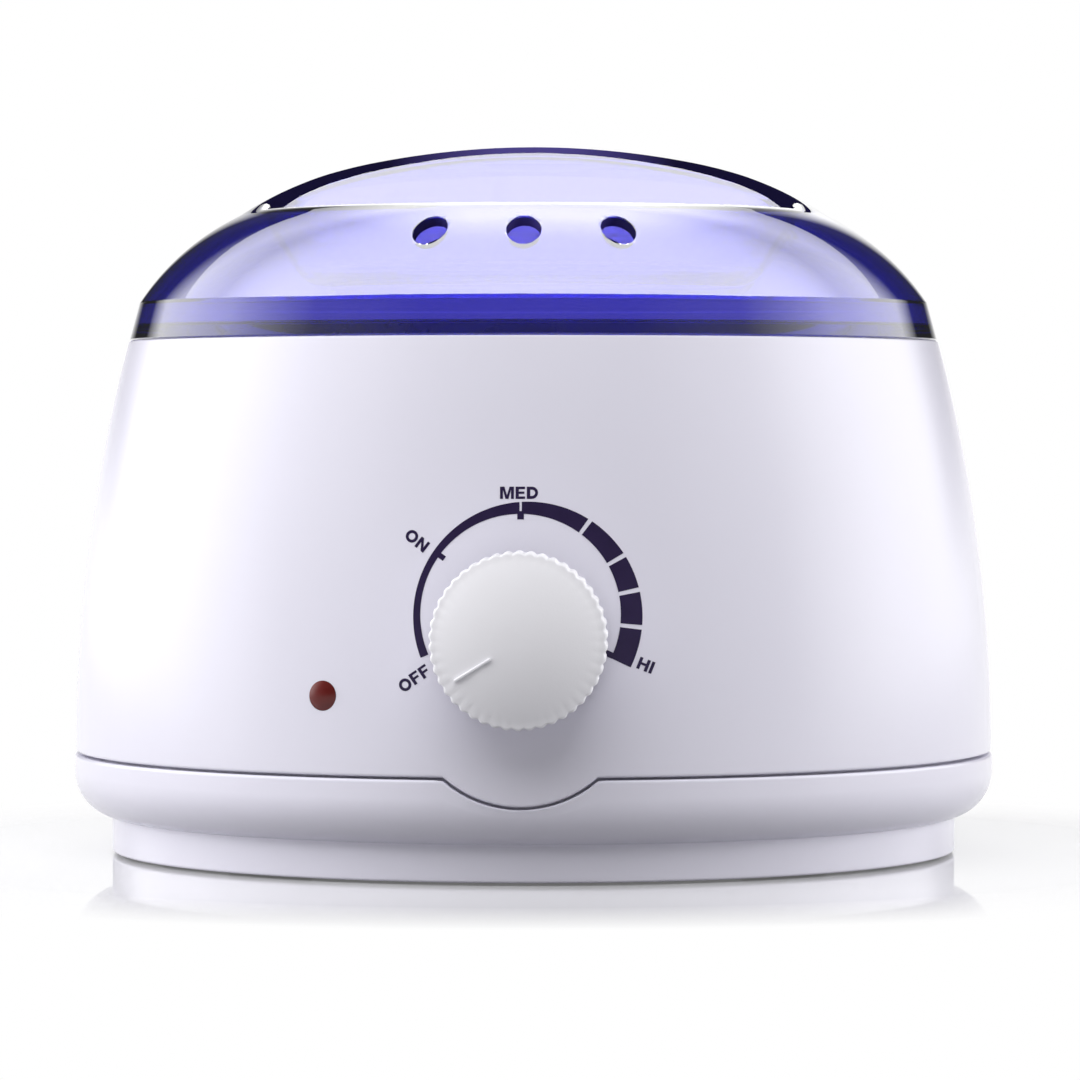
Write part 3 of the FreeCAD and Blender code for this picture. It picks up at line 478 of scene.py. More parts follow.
def silicone_lead(hex_colour):
    """Finish of a silicone-insulated lead in a colour: soft sheen and a talc bloom."""
    def finish(tree, point):
        moulded(tree, point, linear(hex_colour), 0.55, blotch=5, grain=0.5, lift=0.008, ior=1.41, spread=0.12)
    return finish


FINISHES = {
    "shell_abs": ("Gloss moulded ABS", gloss_abs),
    "knob_abs": ("Spark-eroded matte ABS", matte_abs),
    "lid_tint": ("Violet clear acrylic", violet_acrylic),
    # lid_edge is painted shade: opaque dark violet for the refraction dark at the ridge edge and vent bores
    "lid_edge": ("Violet acrylic, painted edge shade", violet_painted_shade),
    "lens_red": ("Red clear polycarbonate", red_polycarbonate),
    "lamp_glass": ("Neon lamp glass", lamp_glass),
    "pot_aluminium": ("Spun aluminium", spun_aluminium),
    "well_aluminium": ("Pressed aluminium", pressed_aluminium),
    "bail_steel": ("Polished steel wire", polished_wire),
    "zinc_steel": ("Zinc plated steel", zinc_plate),
    "heater_mica": ("Pressed mica", pressed_mica),
    "shaft_brass": ("Turned brass", turned_brass),
    "fuse_case": ("Drawn aluminium can", drawn_can),
    "thermostat_case": ("Black phenolic", phenolic),
    "gland_black": ("Black nylon", black_nylon),
    "block_nylon": ("Natural nylon", natural_nylon),
    "sleeve_white": ("Braided glass sleeve", woven_sleeve),
    "lead_brown": ("Brown silicone lead", silicone_lead("4A2413")),
    "lead_blue": ("Blue silicone lead", silicone_lead("21427F")),
    "lead_white": ("White silicone lead", silicone_lead("E2E1DA")),
    "foot_rubber": ("Grey moulded rubber", grey_rubber),
    "gasket_silicone": ("Red silicone sheet", red_silicone),
    "dial_ink": ("Screen printed ink", dial_ink),
}


def finish_for(slot):
    """Material of a slot, built the first time it is asked for."""
    name, build = FINISHES[slot]
    material = bpy.data.materials.get(name)
    if material is None:
        material = bpy.data.materials.new(name)
        material.use_nodes = True
        tree = material.node_tree
        tree.nodes.clear()
        build(tree, add_node(tree, "ShaderNodeTexCoord").outputs["Object"])
    return material


# Mesh helpers

def arc(centre, radius, start, end, steps):
    """Profile points on an arc, with angles in radians from the outward direction."""
    angles = [start + (end - start) * i / steps for i in range(steps + 1)]
    return [(centre[0] + radius * math.cos(a), centre[1] + radius * math.sin(a)) for a in angles]


def rounded(corners, steps=5):
    """Open profile through (across, up, round) corners; an end's round is not used."""
    points = []
    for i, corner in enumerate(corners):
        here = Vector(corner[:2])
        radius = corner[2] if len(corner) > 2 else 0
        if radius == 0 or i in (0, len(corners) - 1):
            points.append(tuple(here))
            continue
        before = (Vector(corners[i - 1][:2]) - here).normalized()
        after = (Vector(corners[i + 1][:2]) - here).normalized()
        half = before.angle(after) / 2
        centre = here + (before + after).normalized() * radius / math.sin(half)
        first = here + before * radius / math.tan(half) - centre
        last = here + after * radius / math.tan(half) - centre
        turn = first.angle_signed(last)
        for j in range(steps + 1):
            a = -turn * j / steps
            spot = centre + Matrix.Rotation(a, 2) @ first
            points.append(tuple(spot))
    return points


def lathe(profile, steps):
    """Mesh spun about the upright axis from (radius, height) points."""
    bm = bmesh.new()
    verts = [bm.verts.new((r, 0, z)) for r, z in profile]
    edges = [bm.edges.new(pair) for pair in zip(verts, verts[1:])]
    bmesh.ops.spin(
        bm, geom=verts + edges, cent=(0, 0, 0), axis=UP, angle=math.tau, steps=steps, use_merge=True)
    return sealed(bm)


def sealed(bm):
    """Merge the doubles and point the faces outwards."""
    bmesh.ops.remove_doubles(bm, verts=bm.verts, dist=0.5e-6)
    bmesh.ops.dissolve_degenerate(bm, edges=bm.edges, dist=0.2e-6)
    bmesh.ops.recalc_face_normals(bm, faces=bm.faces)
    return bm


def moved(bm, matrix):
    """Put a mesh in its place."""
    bmesh.ops.transform(bm, matrix=matrix, verts=bm.verts)
    return bm


def joined(meshes):
    """One mesh that holds the others, which are used up."""
    whole = bmesh.new()
    for bm in meshes:
        part = bpy.data.meshes.new("part")
        bm.to_mesh(part)
        bm.free()
        whole.from_mesh(part)
        bpy.data.meshes.remove(part)
    return whole


def extruded(bm, edges):
    """Extrude a chain of edges; returns the new vertices and the new chain."""
    new = bmesh.ops.extrude_edge_only(bm, edges=edges)["geom"]
    verts = {g for g in new if isinstance(g, bmesh.types.BMVert)}
    return verts, [g for g in new if isinstance(g, bmesh.types.BMEdge) and all(v in verts for v in g.verts)]


def loft(bm, edges, levels, place):
    """Extrude a chain of edges level by level; place gives each new vertex its spot."""
    for level in levels:
        verts, edges = extruded(bm, edges)
        for v in verts:
            v.co = place(v, level)
    return edges


def facing(way):
    """Turn that points the upright axis along a way."""
    return way.to_track_quat("Z", "Y").to_matrix().to_4x4()


def cylinder(radius, start, end, segments=48):
    """Closed cylinder between two points."""
    bm = bmesh.new()
    way = end - start
    bmesh.ops.create_cone(
        bm, cap_ends=True, segments=segments, radius1=radius, radius2=radius, depth=way.length)
    return moved(bm, Matrix.Translation((start + end) / 2) @ facing(way))


def prism(outline, low, high):
    """Closed upright prism from an outline of (x, y) points."""
    bm = bmesh.new()
    face = bm.faces.new([bm.verts.new((x, y, low)) for x, y in outline])
    top = bmesh.ops.extrude_face_region(bm, geom=[face])["geom"]
    raised = [g for g in top if isinstance(g, bmesh.types.BMVert)]
    bmesh.ops.translate(bm, vec=(0, 0, high - low), verts=raised)
    return sealed(bm)


def cut(bm, cutters):
    """Cut closed meshes out of a closed mesh, all of which are used up."""
    scratch = []
    for name, mesh in (("work", bm), ("tool", joined(cutters))):
        data = bpy.data.meshes.new(name)
        mesh.to_mesh(data)
        mesh.free()
        scratch.append(bpy.data.objects.new(name, data))
        bpy.context.collection.objects.link(scratch[-1])
    work, tool = scratch
    modifier = work.modifiers.new("cut", "BOOLEAN")
    modifier.object = tool
    modifier.operation = "DIFFERENCE"
    modifier.solver = "EXACT"
    bpy.context.view_layer.update()
    result = bmesh.new()
    result.from_object(work, bpy.context.evaluated_depsgraph_get())
    sealed(result)
    bmesh.ops.holes_fill(result, edges=[e for e in result.edges if e.is_boundary])
    for obj in scratch:
        data = obj.data
        bpy.data.objects.remove(obj)
        bpy.data.meshes.remove(data)
    return result


def make_piece(bm, name, body, slot, nodes=(), finish=None, sharp=40):
    """Turn a mesh into a piece that rides on a body and stands for its nodes."""
    mesh = bpy.data.meshes.new(name)
    bm.to_mesh(mesh)
    bm.free()
    mesh.materials.append(finish_for(finish or slot))
    mesh.shade_smooth()
    mesh.set_sharp_from_angle(angle=math.radians(sharp))
    piece = bpy.data.objects.new(name, mesh)
    bpy.context.collection.objects.link(piece)
    even = piece.modifiers.new("even shading", "WEIGHTED_NORMAL")
    even.keep_sharp = True
    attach(piece, body)
    if nodes:
        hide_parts(*nodes)
    return piece


def at_angle(angle, radius, z=0.0):
    """Point at an angle about the upright axis."""
    return Vector((radius * math.cos(angle), radius * math.sin(angle), z))


def flank(z, inset=0.0):
    """Radius of the shell's flank at a height, drawn in by an inset."""
    drop = max(0, z - SHELL_FOOT)
    return SHELL_R - FLANK_RADIUS + math.sqrt((FLANK_RADIUS - inset) ** 2 - drop ** 2)


def seam_drop(x, edge, radius):
    """How far the front seam dips below an edge at a place across the front."""
    dip = edge - NOTCH_Z
    reach = math.sqrt(radius ** 2 - dip ** 2)
    if abs(x) >= reach:
        return 0.0
    return edge - (NOTCH_Z - math.sqrt(radius ** 2 - x ** 2))


# Outer shell

def shell_profile(edge):
    """Closed section of the shell: flank, rim, deck and inner wall."""
    count = 34
    heights = [SHELL_FOOT + (RIM_Z - SHELL_FOOT) * (i + 1) / (count + 2) for i in range(count + 1)]
    inner = [z for z in reversed(heights) if z < DECK_UNDER - 2 * MM]
    corners = [(SHELL_R - SHELL_WALL / 2, SHELL_FOOT), (SHELL_R, SHELL_FOOT, edge)]
    corners += [(flank(z), z) for z in heights]
    corners += [(flank(RIM_Z), RIM_Z, edge), (flank(RIM_Z, SHELL_WALL), RIM_Z, edge)]
    corners += [(flank(DECK_TOP, SHELL_WALL), DECK_TOP, edge)]
    corners += [(DECK_BORE, DECK_TOP, edge), (DECK_BORE, DECK_UNDER, edge)]
    corners += [(flank(DECK_UNDER, SHELL_WALL), DECK_UNDER, edge)]
    corners += [(flank(z, SHELL_WALL), z) for z in inner]
    corners += [(SHELL_R - SHELL_WALL, SHELL_FOOT, edge / 2), (SHELL_R - SHELL_WALL / 2, SHELL_FOOT)]
    return rounded(corners, steps=4)


def outer_shell(edge):
    """Shell wall with the tongue at its front and the holes for shaft, lens and gland."""
    bm = lathe(shell_profile(edge), steps=360)
    for v in bm.verts:
        if v.co.y < 0 and v.co.z < SHELL_FOOT + 1.2 * edge:
            v.co.z -= seam_drop(v.co.x, SHELL_FOOT, TONGUE_R)
    rear = Vector((0, 1, 0))
    seat = gland_high.y - GLAND_FLANGE_THICK
    holes = (
        (LENS_R + HOLE_ROOM, LAMP_Z, at_angle(FRONT - LAMP_ANGLE, 1), HOLE_START, HOLE_END, 48),
        (GLAND_BARREL_R + HOLE_ROOM, GLAND_Z, rear, HOLE_START, seat * 1.005, 48),
        (GLAND_FLANGE_R + GLAND_FLANGE_ROOM, GLAND_Z, rear, seat, HOLE_END, 96),
        (SHAFT_HOLE_R, KNOB_Z, -rear, HOLE_START, HOLE_END, 48),
    )
    return cut(bm, [cylinder(radius, UP * z + way * start, UP * z + way * end, segments)
                    for radius, z, way, start, end, segments in holes])


# Base tray

def bumper_radius(z):
    """Outer radius of the bumper at a height."""
    rise = min(0, z - BUMPER_MID)
    return BUMPER_R - BUMPER_ROUND + math.sqrt(BUMPER_ROUND ** 2 - rise ** 2)


def base_profile(edge):
    """Section of the base from the middle of its underside round to the middle of its floor."""
    centre = (BUMPER_R - BUMPER_ROUND, BUMPER_MID)
    under_angle = -math.acos((PLINTH_R - centre[0]) / BUMPER_ROUND)
    inner_r = PLINTH_R - PLINTH_WALL
    inner_round = BUMPER_ROUND - PLINTH_WALL
    inner_start = -math.acos((LIP_INNER - centre[0]) / inner_round)
    inner_end = -math.acos((inner_r - centre[0]) / inner_round)
    corners = [(0, FLOOR_UNDER), (inner_r, FLOOR_UNDER, 0.4 * MM), (inner_r, PLINTH_FOOT, edge)]
    corners += [(PLINTH_R, PLINTH_FOOT, edge)]
    corners += arc(centre, BUMPER_ROUND, under_angle, 0, 20)
    corners += [(BUMPER_R, BUMPER_TOP, 0.6 * MM), (LIP_OUTER, BUMPER_TOP, 0.3 * MM)]
    corners += [(LIP_OUTER, LIP_TOP, edge), (LIP_INNER, LIP_TOP, edge)]
    corners += arc(centre, inner_round, inner_start, inner_end, 8)
    corners += [(inner_r, FLOOR_TOP, 0.8 * MM), (0, FLOOR_TOP)]
    return rounded(corners, steps=4)


def slot_cutter(angle):
    """Round-ended cooling slot, as a closed cutter."""
    middle = SLOT_HALF - SLOT_ROUND
    outline = arc((middle, 0), SLOT_ROUND, -math.pi / 2, math.pi / 2, 8)
    outline += arc((-middle, 0), SLOT_ROUND, math.pi / 2, 3 * math.pi / 2, 8)
    bm = prism(outline, FLOOR_UNDER - 1 * MM, FLOOR_TOP + 1 * MM)
    return moved(bm, Matrix.Rotation(angle, 4, "Z") @ Matrix.Translation((SLOT_RING, 0, 0)))


def base_tray(edge, slots):
    """Plinth, bumper with the notch at its front, lip and slotted floor."""
    bm = lathe(base_profile(edge), steps=360)
    still = BUMPER_MID - NOTCH_FADE
    near = 0.01 * MM
    for v in bm.verts:
        radius = math.hypot(v.co.x, v.co.y)
        if v.co.y > 0 or radius < LIP_OUTER - near or not still < v.co.z <= BUMPER_TOP + near:
            continue
        drop = seam_drop(v.co.x, BUMPER_TOP, NOTCH_R)
        share = (v.co.z - still) / (BUMPER_TOP - still)
        z = v.co.z - drop * share
        scale = bumper_radius(z) / bumper_radius(v.co.z) if radius > LIP_OUTER + 0.5 * MM else 1
        v.co = Vector((v.co.x * scale, v.co.y * scale, z))
    return cut(bm, [slot_cutter(math.tau * (i + 0.5) / slots) for i in range(slots)])


# Lid

def dome_height(radius, inset=0.0):
    """Height of the lid's crowned top, drawn in by an inset: crown, ridge end and shoulder arcs."""
    def over(size, middle):
        """Height of an arc over its centre."""
        return math.sqrt((size - inset) ** 2 - (radius - middle) ** 2)

    if radius < CROWN_REACH:
        return lid_high.z - CROWN_R + over(CROWN_R, 0)
    ridge = lid_high.z - RIDGE_END_DEPTH + over(RIDGE_END_R, RIDGE_END_MIDDLE)
    shoulder = RIM_Z - SHOULDER_DEPTH + over(SHOULDER_R, SHOULDER_MIDDLE)
    share = min(1, max(0, (radius - SHOULDER_START) / SHOULDER_BLEND))
    return ridge + (shoulder - ridge) * share * share * (3 - 2 * share)


class RecessForm:
    """One finger recess: a D-shaped pocket between the ridge and the dome, enlarged by a wall."""

    straight, corner, sweep = 60, 12, 96
    # Share of each corner next to the ridge whose faces take the painted edge shade
    shaded_corner = 0.7 * corner

    def __init__(self, grow, edge_round):
        self.grow = grow
        self.edge_round = edge_round
        self.floor_z = RECESS_EDGE_Z - RECESS_DEPTH - grow
        self.count = self.straight + 2 * self.corner + self.sweep

    def outline(self, z):
        """Points round the pocket at a height, with the direction into the wall at each."""
        radius = RECESS_R + self.grow + (z - RECESS_EDGE_Z) * RECESS_SLOPE
        half = RIDGE_HALF - self.grow - (z - RECESS_EDGE_Z) * RIDGE_SLOPE
        bend = RECESS_CORNER + self.grow
        across = math.sqrt((radius - bend) ** 2 - (half + bend) ** 2)
        meet = math.atan2(half + bend, across)
        points = []
        for i in range(self.straight):
            points.append((Vector((across * (2 * i / self.straight - 1), -half, z)), Vector((0, 1, 0))))
        for start, end, middle, size, steps in (
                (math.pi / 2, -meet, (across, -half - bend), bend, self.corner),
                (-meet, meet - math.pi, (0, 0), radius, self.sweep),
                (meet - math.pi, -3 * math.pi / 2, (-across, -half - bend), bend, self.corner)):
            for i in range(steps):
                a = start + (end - start) * i / steps
                way = Vector((math.cos(a), math.sin(a), 0))
                points.append((Vector((middle[0], middle[1], z)) + way * size, way))
        return points

    def on_dome(self, point):
        """Point of the top at a place: the dome, which falls away to the ridge's two long edges."""
        z = dome_height(math.hypot(point.x, point.y), self.grow)
        if abs(point.y) < RIDGE_HALF + RECESS_CORNER:
            fall = min(1, (point.y / RIDGE_HALF) ** 2) * max(0, 1 - (point.x / RIDGE_REACH) ** 2)
            z -= RIDGE_FALL * fall
        return Vector((point.x, point.y, z))

    def loops(self):
        """Closed loops from the dome's edge down the wall and over the floor, one list of points each."""
        top = [self.edge_point(k) for k in range(self.count)]
        low = self.outline(self.floor_z)
        table = [self.column(edge, *low[k], self.edge_at(k)) for k, edge in enumerate(top)]
        return [list(level) for level in zip(*table)]

    def edge_at(self, k):
        """Round of the edge: small along the ridge, growing through the corners to its full size."""
        past = min(k - self.straight, self.count - k) / self.corner
        share = min(1, max(0, past))
        return RIDGE_EDGE_ROUND + (max(self.edge_round, RIDGE_EDGE_ROUND) - RIDGE_EDGE_ROUND) * share

    def edge_point(self, k):
        """Where the pocket's wall meets the dome."""
        z = RECESS_EDGE_Z
        for _ in range(8):
            z = self.on_dome(self.outline(z)[k][0]).z
        return self.outline(z)[k][0]

    def by_ridge(self, k):
        """Whether a station lies along the ridge, or on the part of a corner next to it."""
        return k <= self.straight + self.shaded_corner or k >= self.count - self.shaded_corner

    def column(self, edge, low, way, edge_round):
        """Points of one line down the wall: edge round, wall, floor round and floor."""
        up = (edge - low).normalized()
        out = (self.on_dome(edge + way * 0.5 * MM) - edge).normalized()
        reach = edge_round * math.tan((math.pi - (-up).angle(out)) / 2)
        brim = self.on_dome(edge + out * reach)
        throat = edge - up * reach
        bend = RECESS_FLOOR_ROUND + self.grow
        run = bend * math.tan((math.pi - up.angle(-way)) / 2)
        line = [curve(brim, edge, throat, i / 7) for i in range(8)]
        start = low + up * run
        # The ledge marks where the painted edge shade stops on the wall
        ledge = throat - up * ridge_band(edge.x)
        line += [ledge.lerp(start, i / 4) for i in range(4)]
        line += [curve(start, low, low - way * run, i / 7) for i in range(8)]
        line.append(low - way * (run + 1.5 * MM))
        return line


def ridge_band(x):
    """Depth of the painted dark edge shade down the wall along the ridge, which grows towards the ridge's
    ends.
    """
    return RIDGE_BAND + RIDGE_BAND_SWELL * (x / RIDGE_REACH) ** 2


def curve(start, pull, end, t):
    """Point on a quadratic curve that leaves and arrives towards a pull point."""
    return start.lerp(pull, t).lerp(pull.lerp(end, t), t)


def lid_skin(bm, grow, edge_round, thicker=0.0):
    """Recesses and ridge of one face of the lid.

    Returns the outer loop of edges, the loop's radius and the faces along the ridge that take the painted
    edge shade.
    """
    form = RecessForm(grow, edge_round)
    loops = form.loops()
    station = bm.verts.layers.int.get("station") or bm.verts.layers.int.new("station")
    brims = []
    shaded_faces = []
    for side in (1, -1):
        flip = Vector((1, side, 1))
        first = []
        for k, point in enumerate(loops[0]):
            v = bm.verts.new(point * flip)
            v[station] = k
            first.append(v)
        edges = [bm.edges.new((first[k - 1], first[k])) for k in range(form.count)]
        brims.append(edges)

        def pocket_point(v, level):
            """Point of this pocket at a level of its lines."""
            return loops[level][v[station]] * flip

        old = set(bm.faces)
        ledge = loft(bm, edges, range(1, LEDGE_LEVEL + 1), pocket_point)
        # Wall faces along the ridge, down to the ledge, take the painted edge shade
        shaded_faces += [f for f in set(bm.faces) - old if all(form.by_ridge(v[station]) for v in f.verts)]
        floor = loft(bm, ledge, range(LEDGE_LEVEL + 1, len(loops)), pocket_point)
        bmesh.ops.edgeloop_fill(bm, edges=floor)
    ridge_steps = 32
    strip = 2
    bend_start = form.straight
    corner_x = loops[0][bend_start].x
    end_x = loops[0][bend_start + form.corner].x
    end_r = math.hypot(*loops[0][bend_start + form.corner + form.sweep // 2].xy)

    def ridge_point(v, level):
        """Point across the ridge, swelling to the ring at its two ends."""
        share = level / ridge_steps
        near = loops[0][v[station]]
        y = near.y * (1 - 2 * share)
        past = max(0, (abs(near.x) - corner_x) / (end_x - corner_x))
        bow, near_bow = (math.sqrt(max(0, end_r ** 2 - side ** 2)) for side in (y, near.y))
        x = math.copysign(abs(near.x) + past ** 2 * (bow - near_bow), near.x)
        spot = form.on_dome(Vector((x, y, 0)))
        taper = max(0, 1 - (near.x / end_x) ** 2)
        spot.z -= thicker * taper * math.sin(math.pi * share) ** 0.5
        return spot

    ridge_side = [e for e in brims[0]
                  if all(v[station] <= bend_start + form.corner or v[station] >= form.count - form.corner
                         for v in e.verts)]
    row = ridge_side
    for start, end in ((1, strip), (strip + 1, ridge_steps - strip), (ridge_steps - strip + 1, ridge_steps)):
        old = set(bm.faces)
        row = loft(bm, row, range(start, end + 1), ridge_point)
        # The two strips at the ridge top's sides take the painted edge shade as well
        if start != strip + 1:
            shaded_faces += set(bm.faces) - old
    bmesh.ops.remove_doubles(bm, verts=bm.verts, dist=1e-6)
    return [e for e in bm.edges if e.is_boundary], end_r, [f for f in shaded_faces if f.is_valid]


def turned(v, level):
    """Place of a vertex on a ring of a radius and height, at its own angle."""
    return at_angle(math.atan2(v.co.y, v.co.x), *level)


def weld_open_rings(bm):
    """Join two open rings of as many points, matched by their order about the axis."""
    rings = [v for v in bm.verts if v.is_boundary]
    half = len(rings) // 2
    first, second = (sorted(ring, key=lambda v: (math.atan2(v.co.y, v.co.x) + 0.01) % math.tau)
                     for ring in (rings[:half], rings[half:]))
    bmesh.ops.weld_verts(bm, targetmap=dict(zip(first, second)))


def dome_rings(start, end, inset=0.0):
    """Rings of the dome, as radius and height, from the recesses' ends to just before the crease."""
    count = 26
    radii = [start + (end - start) * math.sin(i / count * math.pi / 2) for i in range(1, count)]
    return [(r, dome_height(r, inset)) for r in radii]


def lid_mesh():
    """Lid with a true wall: outer and inner faces joined round the plug ring, then the vents."""
    outer = bmesh.new()
    edges, start_r, shaded_faces = lid_skin(outer, 0, RECESS_EDGE_ROUND)
    outline = dome_rings(start_r, CREASE_R)
    lip = 0.35 * MM
    outline += rounded([
        outline[-1], (CREASE_R, CREASE_Z, 0.5 * MM), (LID_R, RIM_Z, lip), (PLUG_OUTER, RIM_Z, 0.2 * MM),
        (PLUG_OUTER, lid_low.z, lip), (PLUG_INNER, lid_low.z, lip), (PLUG_INNER, RIM_Z + LID_WALL, lip),
        (PLUG_INNER + 1 * MM, RIM_Z + LID_WALL)], steps=4)[1:]
    loft(outer, edges, outline, turned)
    # Painted shade: the ridge edge's faces take the opaque dark violet
    for face in shaded_faces:
        face.material_index = 1
    inner = bmesh.new()
    edges, start_r, _ = lid_skin(inner, LID_WALL, 0.6 * MM, RIDGE_EXTRA)
    skirt_lean = (LID_R - CREASE_R) / (CREASE_Z - RIM_Z)
    in_crease = (CREASE_R - CREASE_INSET, CREASE_Z - CREASE_SINK)
    foot_r = in_crease[0] + (in_crease[1] - RIM_Z - LID_WALL) * skirt_lean
    outline = dome_rings(start_r, in_crease[0], LID_WALL)
    outline += rounded([
        outline[-1], in_crease + (0.5 * MM,), (foot_r, RIM_Z + LID_WALL, 0.5 * MM),
        (PLUG_INNER + 1 * MM, RIM_Z + LID_WALL)], steps=4)[1:]
    loft(inner, edges, outline, turned)
    bm = joined([outer, inner])
    weld_open_rings(bm)
    sealed(bm)
    vents = vent_places()
    bm = cut(bm, [moved(cylinder(1, UP * -VENT_REACH, UP * VENT_REACH), place) for place in vents])
    mouths = [e for e in bm.edges if len(e.link_faces) == 2 and e.calc_face_angle() > math.radians(40)
              and all(on_vent(v.co, vents, -VENT_MOUTH) for v in e.verts)]
    bmesh.ops.bevel(
        bm, geom=mouths, offset=VENT_EDGE_ROUND, segments=2, profile=0.5, affect="EDGES", material=-1)
    # Painted shade: the vent bores take the opaque dark violet too
    for face in bm.faces:
        if all(on_vent(v.co, vents, -VENT_REACH) for v in face.verts):
            face.material_index = 1
    return sealed(bm)


def vent_places():
    """Frame of each vent on the shoulder: half its width, half its height and the way straight out."""
    low, high = RECESS_R, CREASE_R
    for _ in range(30):
        radius = (low + high) / 2
        low, high = (radius, high) if dome_height(radius) > VENT_Z else (low, radius)
    slope = (dome_height(radius - 0.5 * MM) - dome_height(radius + 0.5 * MM)) / MM
    places = []
    for step in (-1, 0, 1):
        angle = FRONT + step * VENT_STEP
        way = (at_angle(angle, slope) + UP).normalized()
        across = UP.cross(way).normalized()
        frame_axes = Matrix((across * VENT_R, way.cross(across) * VENT_R * VENT_STRETCH, way)).transposed()
        places.append(Matrix.Translation(at_angle(angle, radius, VENT_Z)) @ frame_axes.to_4x4())
    return places


def on_vent(point, vents, inner):
    """Whether a point lies on the bore of a vent, no further in than given."""
    for place in vents:
        local = place.inverted() @ point
        if local.z > inner and abs(math.hypot(local.x, local.y) - 1) < 0.008:
            return True
    return False


# Control knob and its dial

KNOB_CROWN = 3.2 * MM
KNOB_EDGE_ROUND = 0.7 * MM
KNOB_CHAMFER = 0.3 * MM
KNOB_BORE_R = 3.05 * MM
KNOB_BORE_START = 2.9 * MM
KNOB_HUB_R = 6 * MM
KNOB_HOLLOW_R = 13.9 * MM
KNOB_FACE_WALL = 1.4 * MM
POINTER_START = 5.4 * MM
POINTER_END = 13.3 * MM
POINTER_WIDTH = 0.55 * MM
POINTER_DEPTH = 1.2 * MM
POINTER_ANGLE = math.radians(122)
DIAL_Z = 49.5 * MM
DIAL_INNER = 18.1 * MM
DIAL_OUTER = 20.7 * MM
DIAL_SHIFT = (1.3 * MM, -0.4 * MM)
DIAL_START = math.radians(-113.6)
DIAL_END = math.radians(115.7)
CAPITAL_HEIGHT = 2.2 * MM
DIAL_ON = math.radians(-54)
DIAL_MARKS = tuple(math.radians(a) for a in (36.5, 60.4, 78.3, 96.2))

# Ticks of the dial: place, reach inwards of the band, reach into the band, width
DIAL_TICKS = (
    (0, 1 * MM, 0.5 * MM, 1.2 * MM),
    (DIAL_ON, 1.1 * MM, 0.3 * MM, 1.0 * MM),
    (DIAL_END - math.radians(1.6), 3 * MM, 0.2 * MM, 1.1 * MM),
)


def knob_mesh(flutes, flute_depth):
    """Knob with a lobed skirt, rounded front edge, crowned face and hollow back."""
    back_y = knob_high.y
    rim_y = knob_low.y + KNOB_CROWN
    bm = bmesh.new()
    bmesh.ops.create_circle(bm, segments=flutes * 12, radius=1)
    fluted = KNOB_R - 0.02 * MM

    def place(v, level):
        """Point on the knob at a radius, depth and share of the lobes."""
        radius, y, lobes = level
        a = math.atan2(v.co.z - KNOB_Z, v.co.x)
        groove = (0.5 + 0.5 * math.cos(a * flutes)) ** 1.4
        r = radius - flute_depth * lobes * groove
        return Vector((r * math.cos(a), y, KNOB_Z + r * math.sin(a)))

    for v in bm.verts:
        a = math.atan2(v.co.y, v.co.x)
        v.co = Vector((math.cos(a), 0, KNOB_Z + math.sin(a)))
    bore_y = knob_low.y + KNOB_BORE_START
    hub_y = rim_y + KNOB_FACE_WALL
    chamfer_y = back_y - KNOB_CHAMFER
    inside = (
        (KNOB_BORE_R, bore_y), (KNOB_BORE_R, chamfer_y), (KNOB_BORE_R + KNOB_CHAMFER, back_y),
        (KNOB_HUB_R - KNOB_CHAMFER, back_y), (KNOB_HUB_R, chamfer_y), (KNOB_HUB_R, hub_y),
        (KNOB_HOLLOW_R - KNOB_CHAMFER, hub_y), (KNOB_HOLLOW_R, hub_y + KNOB_CHAMFER),
        (KNOB_HOLLOW_R, chamfer_y), (KNOB_HOLLOW_R + KNOB_CHAMFER, back_y))
    levels = [(radius, y, 0) for radius, y in inside]
    levels += [(fluted - 0.4 * MM, back_y, 0.6), (fluted, back_y - 0.4 * MM, 1)]
    levels += [(fluted, back_y + (rim_y + KNOB_EDGE_ROUND - back_y) * i / 6, 1) for i in range(1, 7)]
    for i in range(1, 8):
        a = math.pi / 2 * i / 7
        radius = fluted - KNOB_EDGE_ROUND * (1 - math.cos(a))
        levels.append((radius, rim_y + KNOB_EDGE_ROUND * (1 - math.sin(a)), 1 - 0.45 * i / 7))
    face_r = fluted - KNOB_EDGE_ROUND
    for i in range(1, 15):
        share = 1 - i / 15
        levels.append((face_r * share, rim_y - KNOB_CROWN * (1 - share ** 2), 0.55 * max(0, 1 - i * 0.5)))
    start = list(bm.edges)
    for v in bm.verts:
        v.co = place(v, levels[0])
    last = loft(bm, start, levels[1:], place)
    bmesh.ops.edgeloop_fill(bm, edges=last)
    bmesh.ops.edgeloop_fill(bm, edges=start)
    return sealed(bm)


def pointer_mesh(proud):
    """Raised pointer on the knob's face: a slim bar with rounded edges."""
    bm = bmesh.new()
    bmesh.ops.create_cube(bm, size=1)
    bmesh.ops.scale(bm, vec=(POINTER_WIDTH, POINTER_DEPTH, POINTER_END - POINTER_START), verts=bm.verts)
    bmesh.ops.bevel(bm, geom=bm.edges, offset=0.18 * MM, segments=3, profile=0.5, affect="EDGES", material=-1)
    middle = (POINTER_START + POINTER_END) / 2
    lean = Matrix.Rotation(-math.atan(2 * KNOB_CROWN * middle / KNOB_R ** 2), 4, "X")
    sink = KNOB_CROWN * (middle / KNOB_R) ** 2 + POINTER_DEPTH / 2 - proud
    place = Matrix.Translation((0, knob_low.y + sink, middle)) @ lean
    return moved(bm, Matrix.Translation((0, 0, KNOB_Z)) @ Matrix.Rotation(-POINTER_ANGLE, 4, "Y") @ place)


